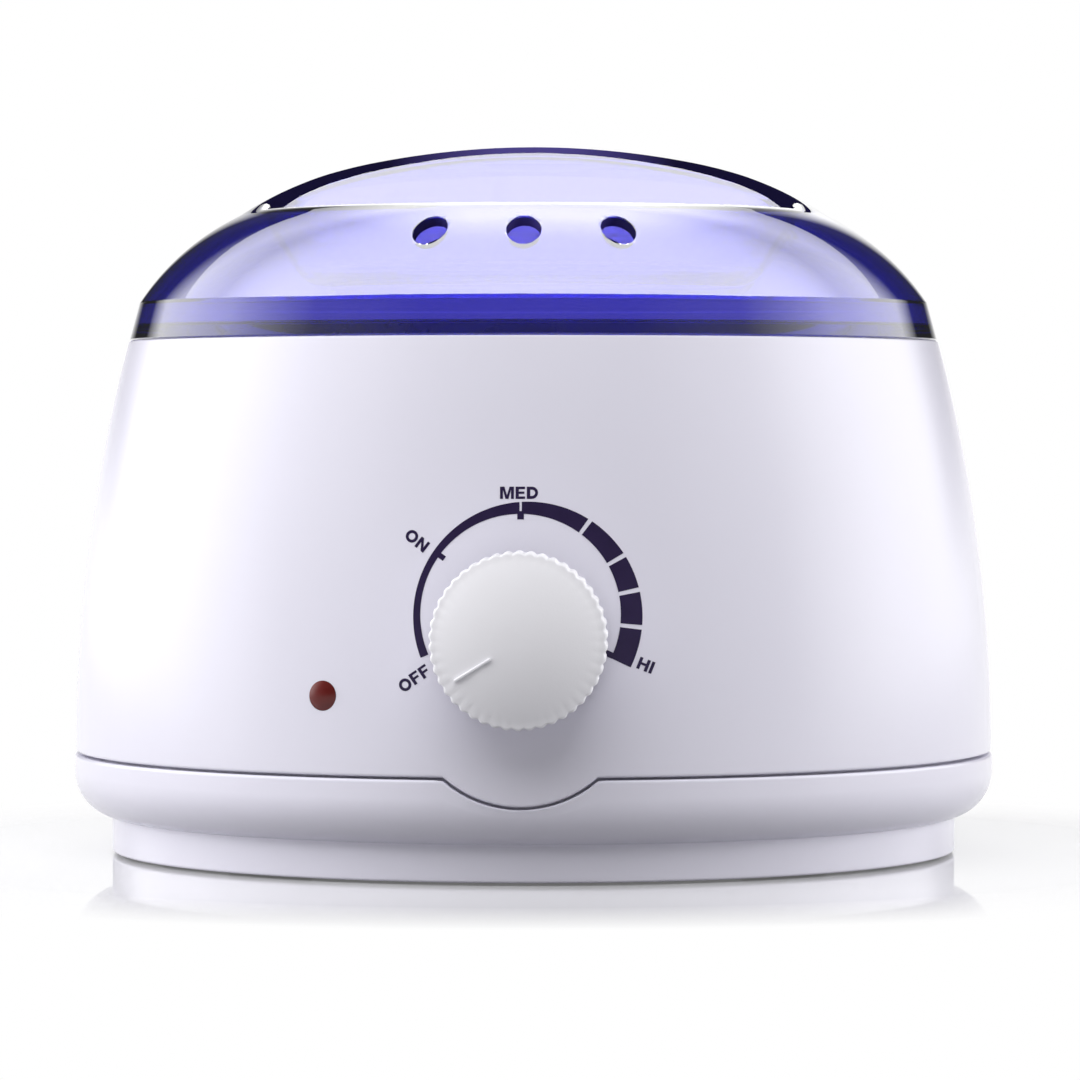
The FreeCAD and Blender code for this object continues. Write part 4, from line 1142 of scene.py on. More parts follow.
def print_on_shell(bm, thickness):
    """Lay a flat print, drawn in x and z, on the shell and give it the ink's thickness."""
    lift = 0.012 * MM
    bmesh.ops.recalc_face_normals(bm, faces=bm.faces)
    top = bmesh.ops.extrude_face_region(bm, geom=list(bm.faces), use_keep_orig=True)["geom"]
    raised = {g for g in top if isinstance(g, bmesh.types.BMVert)}
    for v in bm.verts:
        out = flank(v.co.z) + lift + (thickness if v in raised else 0)
        v.co.y = -math.sqrt(out ** 2 - v.co.x ** 2)
    return sealed(bm)


def dial_point(radius, angle):
    """Point of the dial, with the angle counted clockwise from the top."""
    return Vector((radius * math.sin(angle), 0, DIAL_Z + radius * math.cos(angle)))


def outer_edge(angle):
    """Radius of the dial's outer circle, seen from the centre of the inner one."""
    way = Vector((math.sin(angle), math.cos(angle)))
    shift = Vector(DIAL_SHIFT)
    along = way.dot(shift)
    return along + math.sqrt(along ** 2 + DIAL_OUTER ** 2 - shift.length_squared)


def band(bm, start, end):
    """Stretch of the tapered band between two angles."""
    steps = max(2, round((end - start) / math.radians(1.5)))
    rows = []
    for i in range(steps + 1):
        a = start + (end - start) * i / steps
        wide = outer_edge(a) - DIAL_INNER
        rows.append([bm.verts.new(dial_point(DIAL_INNER + wide * j / 3, a)) for j in range(4)])
    for one, two in zip(rows, rows[1:]):
        for j in range(3):
            bm.faces.new((one[j], one[j + 1], two[j + 1], two[j]))


def tick(bm, angle, inner, outer, width):
    """Straight mark of a width that points at the dial's centre."""
    side = Vector((math.cos(angle), 0, -math.sin(angle))) * width / 2
    ends = [dial_point(r, angle) for r in (inner, outer)]
    bm.faces.new([bm.verts.new(p) for p in (ends[0] - side, ends[0] + side, ends[1] + side, ends[1] - side)])


def dial_band(thickness):
    """Tapered band with its light gaps and its inward ticks."""
    bm = bmesh.new()
    gap = math.radians(1.1)
    notch = math.radians(0.6)
    stops = [(DIAL_START, -notch)] + list(zip((notch,) + tuple(a + gap for a in DIAL_MARKS),
                                              tuple(a - gap for a in DIAL_MARKS) + (DIAL_END,)))
    for start, end in stops:
        band(bm, start, end)
    pieces = [print_on_shell(bm, thickness)]
    for angle, inwards, into, width in DIAL_TICKS:
        bm = bmesh.new()
        tick(bm, angle, DIAL_INNER - inwards, DIAL_INNER + into, width)
        bmesh.ops.subdivide_edges(bm, edges=bm.edges, cuts=2, use_grid_fill=True)
        pieces.append(print_on_shell(bm, thickness * 1.1))
    return joined(pieces)


# Outlines of the dial's bold letters, in shares of the capital height; D and O are rings instead
LETTERS = {
    "E": ((0, 0), (0.78, 0), (0.78, 0.2), (0.26, 0.2), (0.26, 0.41), (0.72, 0.41), (0.72, 0.6), (0.26, 0.6),
          (0.26, 0.8), (0.77, 0.8), (0.77, 1), (0, 1)),
    "F": ((0, 0), (0.26, 0), (0.26, 0.4), (0.68, 0.4), (0.68, 0.59), (0.26, 0.59), (0.26, 0.8), (0.76, 0.8),
          (0.76, 1), (0, 1)),
    "H": ((0, 0), (0.26, 0), (0.26, 0.41), (0.66, 0.41), (0.66, 0), (0.92, 0), (0.92, 1), (0.66, 1),
          (0.66, 0.62), (0.26, 0.62), (0.26, 1), (0, 1)),
    "I": ((0, 0), (0.26, 0), (0.26, 1), (0, 1)),
    "M": ((0, 0), (0.24, 0), (0.24, 0.74), (0.45, 0), (0.69, 0), (0.9, 0.74), (0.9, 0), (1.14, 0), (1.14, 1),
          (0.78, 1), (0.57, 0.3), (0.36, 1), (0, 1)),
    "N": ((0, 0), (0.24, 0), (0.24, 0.62), (0.66, 0), (0.9, 0), (0.9, 1), (0.66, 1), (0.66, 0.38),
          (0.24, 1), (0, 1)),
}
LETTER_WIDTHS = {"D": 0.92, "O": 1.02}
LETTER_STROKE = 0.24
LETTER_GAP = 0.14


def ring_letter(letter):
    """Outer and inner outlines of a D or an O, with as many points each."""
    width = LETTER_WIDTHS[letter]
    whole = letter == "O"
    first, count, middle, tall = (0, 32, width / 2, 0.52) if whole else (-math.pi / 2, 17, 0.42, 0.5)
    outlines = []
    for inset in (0, LETTER_STROKE):
        outline = []
        for i in range(count):
            a = first + math.tau * i / 32
            x = middle + (width - middle - inset) * math.cos(a)
            outline.append((x, 0.5 + (tall - inset) * math.sin(a)))
        if not whole:
            outline += [(inset * 1.15, 1 - inset), (inset * 1.15, inset)]
        outlines.append(outline)
    return outlines


def dial_word(word, x, z, turn, thickness):
    """Word of the dial in bold capitals, printed on the shell."""
    widths = [LETTER_WIDTHS.get(c) or max(p[0] for p in LETTERS[c]) for c in word]
    along = -(sum(widths) + LETTER_GAP * (len(word) - 1)) / 2
    place = Matrix.Translation((x, 0, z)) @ Matrix.Rotation(turn, 4, "Y") @ Matrix.Scale(CAPITAL_HEIGHT, 4)
    bm = bmesh.new()
    for letter, width in zip(word, widths):
        def spot(point):
            """Corner of the letter in hand, at its place on the dial."""
            return bm.verts.new(place @ Vector((along + point[0], 0, point[1] - 0.5)))

        if letter in LETTERS:
            bm.faces.new([spot(p) for p in LETTERS[letter]])
        else:
            outer, inner = ([spot(p) for p in outline] for outline in ring_letter(letter))
            for i in range(len(outer)):
                bm.faces.new((outer[i - 1], outer[i], inner[i], inner[i - 1]))
        along += width + LETTER_GAP
    bm.normal_update()
    bmesh.ops.triangulate(bm, faces=bm.faces)
    return print_on_shell(bm, thickness)


DIAL_WORDS = (
    ("MED", -0.3 * MM, 71.4 * MM, 0.0),
    ("ON", -18.8 * MM, 62.8 * MM, math.radians(38)),
    ("OFF", -19.2 * MM, 37.9 * MM, math.radians(-35)),
    ("HI", 22.6 * MM, 40.3 * MM, math.radians(22)),
)


# Small parts

LENS_FLANGE_R = 4 * MM
LENS_FLANGE_THICK = 1.2 * MM
LENS_SEAT_BACK = 1.4 * MM
LENS_TAIL_R = 2.3 * MM
LENS_TAIL = 4 * MM
FOOT_DIMPLE = 0.7 * MM
FOOT_DIMPLE_R = 3 * MM
FOOT_DIMPLE_FLARE = 0.6 * MM
FOOT_TAPER = 0.4 * MM
FOOT_NECK_R = 2.5 * MM
FOOT_BARB_R = 3.4 * MM
FOOT_TIP_R = 3 * MM


def lens_mesh():
    """Indicator lens: a low dome on a stem, with the flange that holds it inside the wall."""
    skin = flank(LAMP_Z)
    face = skin + LENS_PROUD
    seat = flank(LAMP_Z, SHELL_WALL) - LENS_SEAT_BACK
    dome_r = (LENS_R ** 2 + LENS_PROUD ** 2) / (2 * LENS_PROUD)
    reach = math.asin(LENS_R / dome_r)
    dome = arc((0, face - dome_r), dome_r, math.pi / 2, math.pi / 2 - reach, 10)
    flange = seat - LENS_FLANGE_THICK
    end = flange - LENS_TAIL
    profile = dome + rounded([
        (LENS_R, skin - 0.1 * MM), (LENS_R, seat), (LENS_FLANGE_R, seat, 0.2 * MM),
        (LENS_FLANGE_R, flange, 0.2 * MM), (LENS_TAIL_R, flange), (LENS_TAIL_R, end, 0.3 * MM), (0, end)])
    bm = lathe(profile, steps=64)
    return moved(bm, Matrix.Translation((0, 0, LAMP_Z)) @ facing(at_angle(FRONT - LAMP_ANGLE, 1)))


def gland_mesh():
    """Cord gland: flush flange, threaded barrel and the cord's bore with a flared mouth."""
    length = gland_high.y - gland_low.y
    flange = length - GLAND_FLANGE_THICK
    profile = rounded([
        (GLAND_BORE_R, 0), (GLAND_BARREL_R, 0, 0.4 * MM), (GLAND_BARREL_R, flange, 0.2 * MM),
        (GLAND_FLANGE_R, flange, 0.3 * MM), (GLAND_FLANGE_R, length, 0.5 * MM),
        (GLAND_BORE_R, length, 1.1 * MM), (GLAND_BORE_R, 0)], steps=6)
    bm = lathe(profile, steps=96)
    turn = Matrix.Rotation(-math.pi / 2, 4, "X")
    return moved(bm, Matrix.Translation((0, gland_low.y, GLAND_Z)) @ turn)


def foot_mesh(node):
    """Rubber foot with a rounded edge and a shallow dimple under it."""
    low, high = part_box(node)
    radius = (high.x - low.x) / 2
    profile = rounded([
        (0, FOOT_DIMPLE), (FOOT_DIMPLE_R, FOOT_DIMPLE, 0.4 * MM),
        (FOOT_DIMPLE_R + FOOT_DIMPLE_FLARE, 0, 0.3 * MM), (radius, 0, 1 * MM),
        (radius - FOOT_TAPER, FLOOR_UNDER, 0.3 * MM), (FOOT_NECK_R, FLOOR_UNDER), (FOOT_NECK_R, FLOOR_TOP),
        (FOOT_BARB_R, FLOOR_TOP, 0.3 * MM), (FOOT_TIP_R, high.z, 0.5 * MM), (0, high.z)])
    bm = lathe(profile, steps=64)
    return moved(bm, Matrix.Translation(((low.x + high.x) / 2, (low.y + high.y) / 2, 0)))


def cross_cutter(reach, width, depth):
    """Cross of a driver's recess, as a closed cutter about the origin."""
    a, b = width / 2, reach
    quarter = [(b, -a), (b, a), (a, a)]
    outline = []
    for i in range(4):
        turn = Matrix.Rotation(i * math.pi / 2, 2)
        outline += [tuple(turn @ Vector(p)) for p in quarter]
    return prism(outline, -depth, depth)


def screw_mesh(head_r, head, shank_r, shank):
    """Pan-head screw with a cross recess; the head stands up from the origin."""
    profile = rounded([
        (0, head), (head_r * 0.7, head, head * 0.9), (head_r, head * 0.3, head * 0.3), (head_r, 0),
        (shank_r, 0), (shank_r, -shank, 0.3 * MM), (0, -shank)], steps=4)
    bm = lathe(profile, steps=40)
    recess = cross_cutter(head_r * 0.55, head_r * 0.26, head * 0.65)
    return cut(bm, [moved(recess, Matrix.Translation((0, 0, head)))])


def screw_set(corner, seat, head_r, head, shank_r, shank, slew, flip=0.0):
    """Four screws at the corners of a square, each turned a little further than the last."""
    across = corner.x - head_r
    along = corner.y - head_r
    spots = [Vector((x * across, y * along, seat)) for x in (-1, 1) for y in (-1, 1)]
    return joined([
        moved(screw_mesh(head_r, head, shank_r, shank),
              Matrix.Translation(spot) @ Matrix.Rotation(i * slew, 4, "Z") @ Matrix.Rotation(flip, 4, "X"))
        for i, spot in enumerate(spots)])


# Well, pot and bail

FLANGE_SHEET = 1.2 * MM
WELL_SHEET = 1.5 * MM
WELL_FLOOR_Z = 33.4 * MM
WELL_FLOOR_R = 57 * MM
WELL_MOUTH_R = 59.5 * MM
WELL_STUD_R = 2.5 * MM
POT_SHEET = 1 * MM
POT_FLOOR_R = 54.8 * MM
POT_MOUTH_R = 57.3 * MM
POT_RING_R = 24 * MM
POT_RING_HALF = 4 * MM
POT_RING_RISE = 0.6 * MM
EAR_ROUND = 2.5 * MM
EAR_HOLE_R = 1.6 * MM
RIVET_SIDE = 4 * MM
RIVET_UP = 1.5 * MM
RIVET_HEAD = tuple((r * MM, z * MM) for r, z in (
    (0, 0.5), (0.5, 0.43), (0.9, 0.2), (1, 0), (1, -0.2), (0, -0.2)))


def well_mesh():
    """Heated well: flange, tapered wall, floor and the stud under it."""
    floor_under = WELL_FLOOR_Z - WELL_SHEET
    flange_under = well_high.z - FLANGE_SHEET
    return lathe(rounded([
        (0, WELL_FLOOR_Z), (WELL_FLOOR_R, WELL_FLOOR_Z, 4 * MM), (WELL_MOUTH_R, well_high.z, 1.2 * MM),
        (well_high.x, well_high.z, 0.4 * MM), (well_high.x, flange_under, 0.4 * MM),
        (WELL_MOUTH_R + WELL_SHEET, flange_under, 1 * MM), (WELL_FLOOR_R + WELL_SHEET, floor_under, 4 * MM),
        (WELL_STUD_R, floor_under), (WELL_STUD_R, well_low.z, 0.4 * MM), (0, well_low.z)],
        steps=6), steps=240)


def pot_mesh():
    """Lift-out pot: rolled flange, tapered wall and a floor with a pressed ring."""
    floor_top = pot_low.z + POT_SHEET
    flange_under = pot_high.z - FLANGE_SHEET
    bend = 6 * MM
    return lathe(rounded([
        (0, floor_top), (POT_RING_R - POT_RING_HALF, floor_top, bend),
        (POT_RING_R, floor_top + POT_RING_RISE, bend), (POT_RING_R + POT_RING_HALF, floor_top, bend),
        (POT_FLOOR_R, floor_top, 5 * MM), (POT_MOUTH_R, pot_high.z, 1.6 * MM),
        (pot_high.x, pot_high.z, 0.55 * MM), (pot_high.x, flange_under, 0.55 * MM),
        (POT_MOUTH_R + POT_SHEET, flange_under, 0.6 * MM), (POT_FLOOR_R + POT_SHEET, pot_low.z, 5 * MM),
        (0, pot_low.z)], steps=7), steps=240)


def ear_mesh(side):
    """Ear of the pot: an upright plate with a round top, a hole for the bail and two rivet heads."""
    half = ear_high.y
    high = ear_high.z
    outline = rounded([
        (0, ear_low.z), (half, ear_low.z, 0.2 * MM), (half, high, EAR_ROUND), (-half, high, EAR_ROUND),
        (-half, ear_low.z, 0.2 * MM), (0, ear_low.z)], steps=8)[:-1]
    bm = prism(outline, ear_low.x, ear_high.x)
    moved(bm, Matrix(((0, 0, side, 0), (1, 0, 0, 0), (0, 1, 0, 0), (0, 0, 0, 1))))
    sealed(bm)
    hole = Vector((0, 0, BAIL_Z))
    across = Vector((side, 0, 0))
    plate = cut(bm, [cylinder(EAR_HOLE_R, hole + across * 50 * MM, hole + across * 80 * MM)])
    rivets = []
    for y in (-RIVET_SIDE, RIVET_SIDE):
        place = Matrix.Translation((side * ear_high.x, y, ear_low.z + RIVET_UP))
        rivets.append(moved(lathe(RIVET_HEAD, steps=24), place @ facing(across)))
    return joined([plate] + rivets)


def bail_mesh():
    """Wire bail lying on the pot's rim: two headed pivots, two bends and the half-round bow."""
    wire = 1.5 * MM
    bend = 3.5 * MM
    head_thick = 1.3 * MM
    bow_r = bail_high.y - wire - bend
    head_r = (bail_high.z - bail_low.z) / 2
    end = bail_high.x - head_thick
    bm = bmesh.new()
    ring = bmesh.ops.create_circle(bm, segments=20, radius=wire)["verts"]
    side = Matrix.Translation((-end, 0, BAIL_Z)) @ Matrix.Rotation(math.pi / 2, 4, "Y")
    bmesh.ops.transform(bm, matrix=side, verts=ring)
    start = list(bm.edges)

    def slide(edges):
        """Draw the wire straight on, from a pivot to its bend or back."""
        verts, edges = extruded(bm, edges)
        bmesh.ops.translate(bm, vec=(end - bow_r - bend, 0, 0), verts=list(verts))
        return edges

    def swing(edges, x, angle, steps):
        """Bend the wire about an upright axis."""
        geom = list({v for e in edges for v in e.verts}) + edges
        spun = bmesh.ops.spin(bm, geom=geom, cent=(x, bend, BAIL_Z), axis=UP, angle=angle, steps=steps)
        return [g for g in spun["geom_last"] if isinstance(g, bmesh.types.BMEdge)]

    edges = slide(start)
    edges = swing(edges, -bow_r - bend, math.pi / 2, 8)
    edges = swing(edges, 0, -math.pi, 72)
    edges = swing(edges, bow_r + bend, math.pi / 2, 8)
    edges = slide(edges)
    bmesh.ops.edgeloop_fill(bm, edges=start)
    bmesh.ops.edgeloop_fill(bm, edges=edges)
    parts = [sealed(bm)]
    for s in (-1, 1):
        head = lathe(rounded([
            (0, 0), (head_r, 0, 0.3 * MM), (head_r, head_thick, 0.6 * MM), (0, head_thick)]), steps=40)
        parts.append(moved(head, Matrix.Translation((s * end, 0, BAIL_Z)) @ facing(Vector((s, 0, 0)))))
    return joined(parts)


# Operators, one for each piece or group of like pieces

class WAXWARMER_OT_outer_shell(bpy.types.Operator):
    """Model the outer shell"""
    bl_idname = "waxwarmer.outer_shell"
    bl_label = "Outer Shell"

    def execute(self, context):
        sizes = context.scene.wax_sizes
        make_piece(outer_shell(sizes.edge_round), "shell_wall", "housing", "shell_abs", ["outer_shell"])
        return {"FINISHED"}


class WAXWARMER_OT_base(bpy.types.Operator):
    """Model the base tray, its screws and its rubber feet"""
    bl_idname = "waxwarmer.base"
    bl_label = "Base, Screws and Feet"

    def execute(self, context):
        sizes = context.scene.wax_sizes
        tray = base_tray(sizes.edge_round, sizes.slot_count)
        make_piece(tray, "bumper_base", "housing", "shell_abs", ["base_tray"])
        screws = screw_set(
            screw_high, FLOOR_UNDER, head_r=3.5 * MM, head=FLOOR_UNDER - screw_low.z, shank_r=1.75 * MM,
            shank=15 * MM, slew=0.7, flip=math.pi)
        make_piece(screws, "floor_screws", "housing", "zinc_steel", ["base_screws"])
        for corner in ("front_left", "front_right", "rear_left", "rear_right"):
            node = "rubber_foot_" + corner
            make_piece(foot_mesh(node), "foot_" + corner, "housing", "foot_rubber", [node])
        return {"FINISHED"}


class WAXWARMER_OT_lid(bpy.types.Operator):
    """Model the clear lid with its ridge, recesses and vents"""
    bl_idname = "waxwarmer.lid"
    bl_label = "Lid"

    def execute(self, context):
        lid = make_piece(lid_mesh(), "clear_lid", "lid", "lid_tint", ["lid"], sharp=50)
        # Second slot: the painted dark edge shade of the ridge and vent bores
        lid.data.materials.append(finish_for("lid_edge"))
        return {"FINISHED"}


class WAXWARMER_OT_knob(bpy.types.Operator):
    """Model the control knob and its pointer"""
    bl_idname = "waxwarmer.knob"
    bl_label = "Control Knob"

    def execute(self, context):
        sizes = context.scene.wax_sizes
        body = joined([knob_mesh(sizes.knob_flutes, sizes.flute_depth), pointer_mesh(sizes.pointer_proud)])
        make_piece(body, "heat_knob", "knob", "knob_abs", ["control_knob"])
        return {"FINISHED"}


class WAXWARMER_OT_dial(bpy.types.Operator):
    """Print the dial on the shell"""
    bl_idname = "waxwarmer.dial"
    bl_label = "Dial Print"

    def execute(self, context):
        thickness = context.scene.wax_sizes.ink_thickness
        words = [dial_word(word, x, z, turn, thickness) for word, x, z, turn in DIAL_WORDS]
        dial = joined([dial_band(thickness)] + words)
        make_piece(dial, "dial_print", "housing", "shell_abs", finish="dial_ink")
        return {"FINISHED"}


class WAXWARMER_OT_lens(bpy.types.Operator):
    """Model the indicator lens"""
    bl_idname = "waxwarmer.lens"
    bl_label = "Indicator Lens"

    def execute(self, context):
        make_piece(lens_mesh(), "lamp_lens", "housing", "lens_red", ["indicator_lens"])
        return {"FINISHED"}


class WAXWARMER_OT_gland(bpy.types.Operator):
    """Model the cord gland"""
    bl_idname = "waxwarmer.gland"
    bl_label = "Cord Gland"

    def execute(self, context):
        make_piece(gland_mesh(), "rear_gland", "housing", "gland_black", ["cord_gland"])
        return {"FINISHED"}


class WAXWARMER_OT_well(bpy.types.Operator):
    """Model the heated well and its screws"""
    bl_idname = "waxwarmer.well"
    bl_label = "Heated Well"

    def execute(self, context):
        make_piece(well_mesh(), "heated_well", "housing", "well_aluminium", ["heater_well"])
        screws = screw_set(
            well_screw_high, well_high.z, head_r=2.1 * MM, head=well_screw_high.z - well_high.z,
            shank_r=1.2 * MM, shank=5 * MM, slew=0.9)
        make_piece(screws, "flange_screws", "housing", "zinc_steel", ["well_screws"])
        return {"FINISHED"}


class WAXWARMER_OT_pot(bpy.types.Operator):
    """Model the wax pot, its ears and its bail"""
    bl_idname = "waxwarmer.pot"
    bl_label = "Wax Pot and Bail"

    def execute(self, context):
        make_piece(pot_mesh(), "lift_out_pot", "pot", "pot_aluminium", ["wax_pot"])
        for side, name in ((-1, "left"), (1, "right")):
            make_piece(ear_mesh(side), "ear_" + name, "pot", "pot_aluminium", ["pot_ear_" + name])
        make_piece(bail_mesh(), "wire_bail", "bail", "bail_steel", ["pot_bail"])
        return {"FINISHED"}


class WAXWARMER_OT_inside(bpy.types.Operator):
    """Finish the inner parts that keep their construction shape"""
    bl_idname = "waxwarmer.inside"
    bl_label = "Inner Parts"

    def execute(self, context):
        for part in frame["record"]["subparts"]:
            node = frame["nodes"][part["node"]]
            if not node.hide_render:
                node.data.materials.clear()
                node.data.materials.append(finish_for(part["material_slot"]))
        return {"FINISHED"}


class WAXWARMER_OT_stage(bpy.types.Operator):
    """Set the floor, lamps, world and camera"""
    bl_idname = "waxwarmer.stage"
    bl_label = "Stage"

    def execute(self, context):
        stage = context.scene.wax_stage
        make_floor()
        make_world(context.scene, stage.fill_strength)
        body = (0, 0, 0.06)
        for name, place, size, power in (
                ("key_softbox", (-0.18, -0.55, 0.78), (1.2, 0.8), stage.key_power),
                ("left_softbox", (-0.95, -0.05, 0.25), (0.7, 0.6), stage.side_power),
                ("right_softbox", (0.95, 0, 0.25), (0.7, 0.6), stage.side_power),
                ("rear_softbox", (0, 0.95, 0.3), (1.2, 0.6), stage.rear_power)):
            softbox(name, place, body, size, power, shines=False)
        panel = softbox(
            "lid_panel", (0, 0.3, 0.95), (0, 0.3, 0), (3.2, 1.85), stage.panel_power, lights=False)
        fade_to_rear(panel.data, start=-0.6, end=0.6, least=0.1)
        only_on(panel, "clear_lid")
        make_camera(context.scene, stage)
        context.scene.view_settings.view_transform = "Standard"
        return {"FINISHED"}


# Stage

FLOOR_FADE_START = 125 * MM
FLOOR_FADE_END = 165 * MM
SEEN_RAYS = ("Is Camera Ray", "Is Glossy Ray", "Is Transmission Ray")
PLAIN_RAYS = ("Is Camera Ray", "Is Singular Ray", "Is Transmission Ray")


def for_rays(tree, path, rays, other=0.0):
    """One for rays of the kinds given, and another value for the rest where that is less."""
    value = other
    for ray in rays:
        node = add_node(tree, "ShaderNodeMath", {0: value, 1: path.outputs[ray]}, operation="MAXIMUM")
        value = node.outputs[0]
    return value


def ramp_product(tree, ramps):
    """Product of ramps, each a socket, the two values that it runs between and the strengths there."""
    value = 1.0
    for socket, start, end, first, last in ramps:
        ramp = add_node(tree, "ShaderNodeMapRange", {0: socket, 1: start, 2: end, 3: first, 4: last})
        node = add_node(tree, "ShaderNodeMath", {0: value, 1: ramp.outputs[0]}, operation="MULTIPLY")
        value = node.outputs[0]
    return value


def make_floor():
    """Pale gloss floor with the warmer's shadow and reflection, which turns to plain white further away."""
    bm = bmesh.new()
    bmesh.ops.create_grid(bm, x_segments=1, y_segments=1, size=6)
    mesh = bpy.data.meshes.new("floor")
    bm.to_mesh(mesh)
    bm.free()
    floor = bpy.data.objects.new("floor", mesh)
    bpy.context.collection.objects.link(floor)
    material = bpy.data.materials.new("White gloss acrylic sheet")
    material.use_nodes = True
    tree = material.node_tree
    tree.nodes.clear()
    path = add_node(tree, "ShaderNodeLightPath")
    point = add_node(tree, "ShaderNodeTexCoord")
    away = add_node(tree, "ShaderNodeVectorMath", {0: point.outputs["Object"]}, operation="LENGTH")
    share = add_node(tree, "ShaderNodeMapRange", {
        0: away.outputs["Value"], 1: FLOOR_FADE_START, 2: FLOOR_FADE_END, 3: 0.1, 4: 1.0})
    lit = add_node(tree, "ShaderNodeBsdfPrincipled", {
        "Base Color": shade(colours().floor, 1), "Roughness": 0.0, "IOR": 1.45})
    white = add_node(tree, "ShaderNodeEmission", {"Color": (1, 1, 1, 1), "Strength": 1.0})
    shown = add_node(tree, "ShaderNodeMixShader", {
        0: share.outputs[0], 1: lit.outputs[0], 2: white.outputs[0]})
    bounce = add_node(tree, "ShaderNodeBsdfDiffuse", {"Color": shade(colours().floor, 0.35)})
    mix = add_node(tree, "ShaderNodeMixShader", {
        0: for_rays(tree, path, SEEN_RAYS), 1: bounce.outputs[0], 2: shown.outputs[0]})
    add_node(tree, "ShaderNodeOutputMaterial", {"Surface": mix.outputs[0]})
    mesh.materials.append(material)


def make_world(scene, fill):
    """White tent, open at the front, with bright sides, two dark flags behind and a bright strip over them.

    The flags draw the edges of clear plastic, and the strip shows in gloss alone.
    """
    world = bpy.data.worlds.new("White tent")
    world.use_nodes = True
    tree = world.node_tree
    tree.nodes.clear()
    path = add_node(tree, "ShaderNodeLightPath")
    way = add_node(tree, "ShaderNodeTexCoord")
    side = add_node(tree, "ShaderNodeSeparateXYZ", {0: way.outputs["Generated"]})
    across = add_node(tree, "ShaderNodeMath", {0: side.outputs["X"]}, operation="ABSOLUTE").outputs[0]
    back = side.outputs["Y"]
    up = side.outputs["Z"]
    flags = ramp_product(tree, ((across, 0.1, 0.22, 0, 1), (back, 0.68, 0.8, 0, 1), (up, 0.03, 0.1, 0, 1)))
    tent = ramp_product(tree, (
        (back, -0.35, 0.15, 0.2, 1), (across, 0.45, 0.85, 1, 2.6), (flags, 0, 1, 1, 0.03)))
    strip = ramp_product(tree, ((up, 0.15, 0.4, 0, 1), (back, 0.2, 0.5, 0, 1.8), (across, 0.12, 0.3, 1, 0)))
    gleam = add_node(tree, "ShaderNodeMath", {
        0: strip, 1: path.outputs["Is Glossy Ray"], 2: 1.0}, operation="MULTIPLY_ADD")
    walls = add_node(tree, "ShaderNodeMath", {0: tent, 1: gleam.outputs[0]}, operation="MULTIPLY")
    strength = add_node(tree, "ShaderNodeMix", {
        0: for_rays(tree, path, SEEN_RAYS), 2: fill, 3: for_rays(tree, path, PLAIN_RAYS, walls.outputs[0])},
        data_type="FLOAT")
    background = add_node(tree, "ShaderNodeBackground", {
        "Color": (1, 1, 1, 1), "Strength": strength.outputs[0]})
    add_node(tree, "ShaderNodeOutputWorld", {"Surface": background.outputs[0]})
    scene.world = world


def softbox(name, place, aim, size, power, lights=True, shines=True):
    """Area lamp that faces a point; it lights matte surfaces, shines in gloss, or does both."""
    lamp = bpy.data.lights.new(name, "AREA")
    lamp.shape = "RECTANGLE"
    lamp.size, lamp.size_y = size
    lamp.energy = power
    obj = bpy.data.objects.new(name, lamp)
    obj.location = place
    obj.rotation_euler = (Vector(aim) - Vector(place)).to_track_quat("-Z", "Y").to_euler()
    obj.visible_diffuse = lights
    obj.visible_glossy = shines
    obj.visible_transmission = shines
    bpy.context.collection.objects.link(obj)
    return obj


def fade_to_rear(lamp, start, end, least):
    """Dim a lamp towards the rear, from its full strength to the least share of it."""
    lamp.use_nodes = True
    tree = lamp.node_tree
    tree.nodes.clear()
    point = add_node(tree, "ShaderNodeNewGeometry")
    place = add_node(tree, "ShaderNodeSeparateXYZ", {0: point.outputs["Position"]})
    share = add_node(tree, "ShaderNodeMapRange", {0: place.outputs["Y"], 1: start, 2: end, 3: 1.0, 4: least})
    glow = add_node(tree, "ShaderNodeEmission", {"Strength": share.outputs[0]})
    add_node(tree, "ShaderNodeOutputLight", {"Surface": glow.outputs[0]})


def only_on(lamp, piece):
    """Let a lamp reach one piece alone."""
    receivers = bpy.data.collections.new(lamp.name + "_receivers")
    receivers.objects.link(bpy.data.objects[piece])
    lamp.light_linking.receiver_collection = receivers


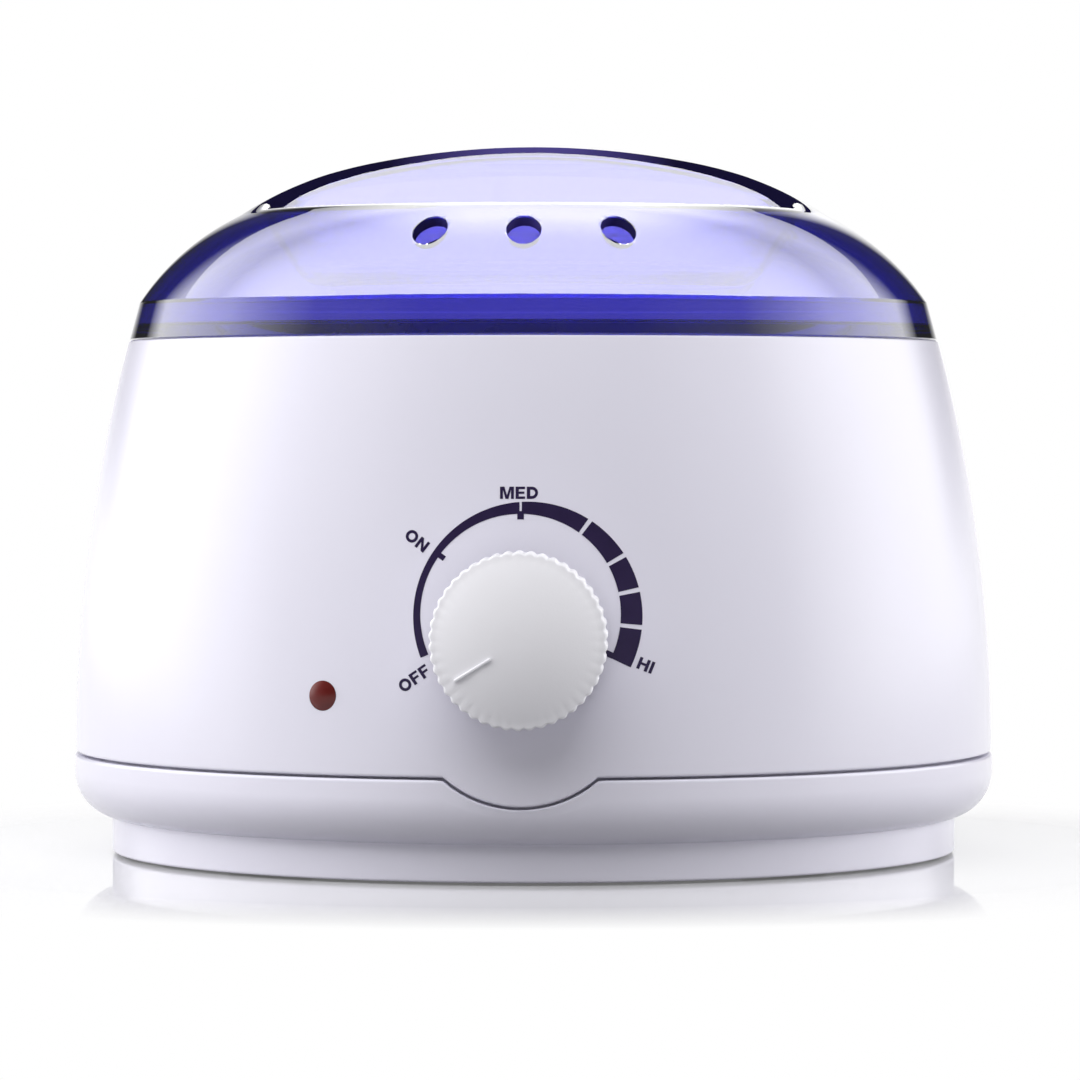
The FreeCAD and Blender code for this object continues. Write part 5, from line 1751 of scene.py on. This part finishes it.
def make_camera(scene, stage):
    """Long lens at the photograph's place, a little above the middle of the warmer."""
    aim_side = math.radians(0.0715)
    tilt = math.radians(1.22)
    camera = bpy.data.cameras.new("camera")
    camera.sensor_width = 36
    camera.lens = 173.7
    obj = bpy.data.objects.new("camera", camera)
    side = stage.camera_side
    obj.location = (stage.camera_distance * math.sin(side), -stage.camera_distance * math.cos(side),
                    stage.camera_height)
    obj.rotation_euler = (math.pi / 2 - tilt, 0, side - aim_side)
    bpy.context.collection.objects.link(obj)
    scene.camera = obj


class WAXWARMER_PT_panel(bpy.types.Panel):
    """List the pieces, colours and sizes of the wax warmer"""
    bl_idname = "WAXWARMER_PT_panel"
    bl_label = "Wax Warmer"
    bl_space_type = "VIEW_3D"
    bl_region_type = "UI"
    bl_category = "Wax Warmer"

    def draw(self, context):
        for operator in OPERATORS:
            self.layout.operator(operator.bl_idname)
        for group in (context.scene.wax_colours, context.scene.wax_sizes, context.scene.wax_stage):
            box = self.layout.box()
            for name in group.__annotations__:
                box.prop(group, name)


OPERATORS = (
    WAXWARMER_OT_outer_shell, WAXWARMER_OT_base, WAXWARMER_OT_lid, WAXWARMER_OT_knob, WAXWARMER_OT_dial,
    WAXWARMER_OT_lens, WAXWARMER_OT_gland, WAXWARMER_OT_well, WAXWARMER_OT_pot, WAXWARMER_OT_inside,
    WAXWARMER_OT_stage,
)
GROUPS = {"wax_colours": WaxWarmerColours, "wax_sizes": WaxWarmerSizes, "wax_stage": WaxWarmerStage}


def register():
    for cls in tuple(GROUPS.values()) + OPERATORS + (WAXWARMER_PT_panel,):
        bpy.utils.register_class(cls)
    for name, group in GROUPS.items():
        setattr(bpy.types.Scene, name, bpy.props.PointerProperty(type=group))


def unregister():
    for name in GROUPS:
        delattr(bpy.types.Scene, name)
    for cls in (WAXWARMER_PT_panel,) + OPERATORS[::-1] + tuple(GROUPS.values()):
        bpy.utils.unregister_class(cls)


def main():
    register()
    for operator in OPERATORS:
        group, name = operator.bl_idname.split(".")
        getattr(getattr(bpy.ops, group), name)()


if __name__ == "__main__":
    main()
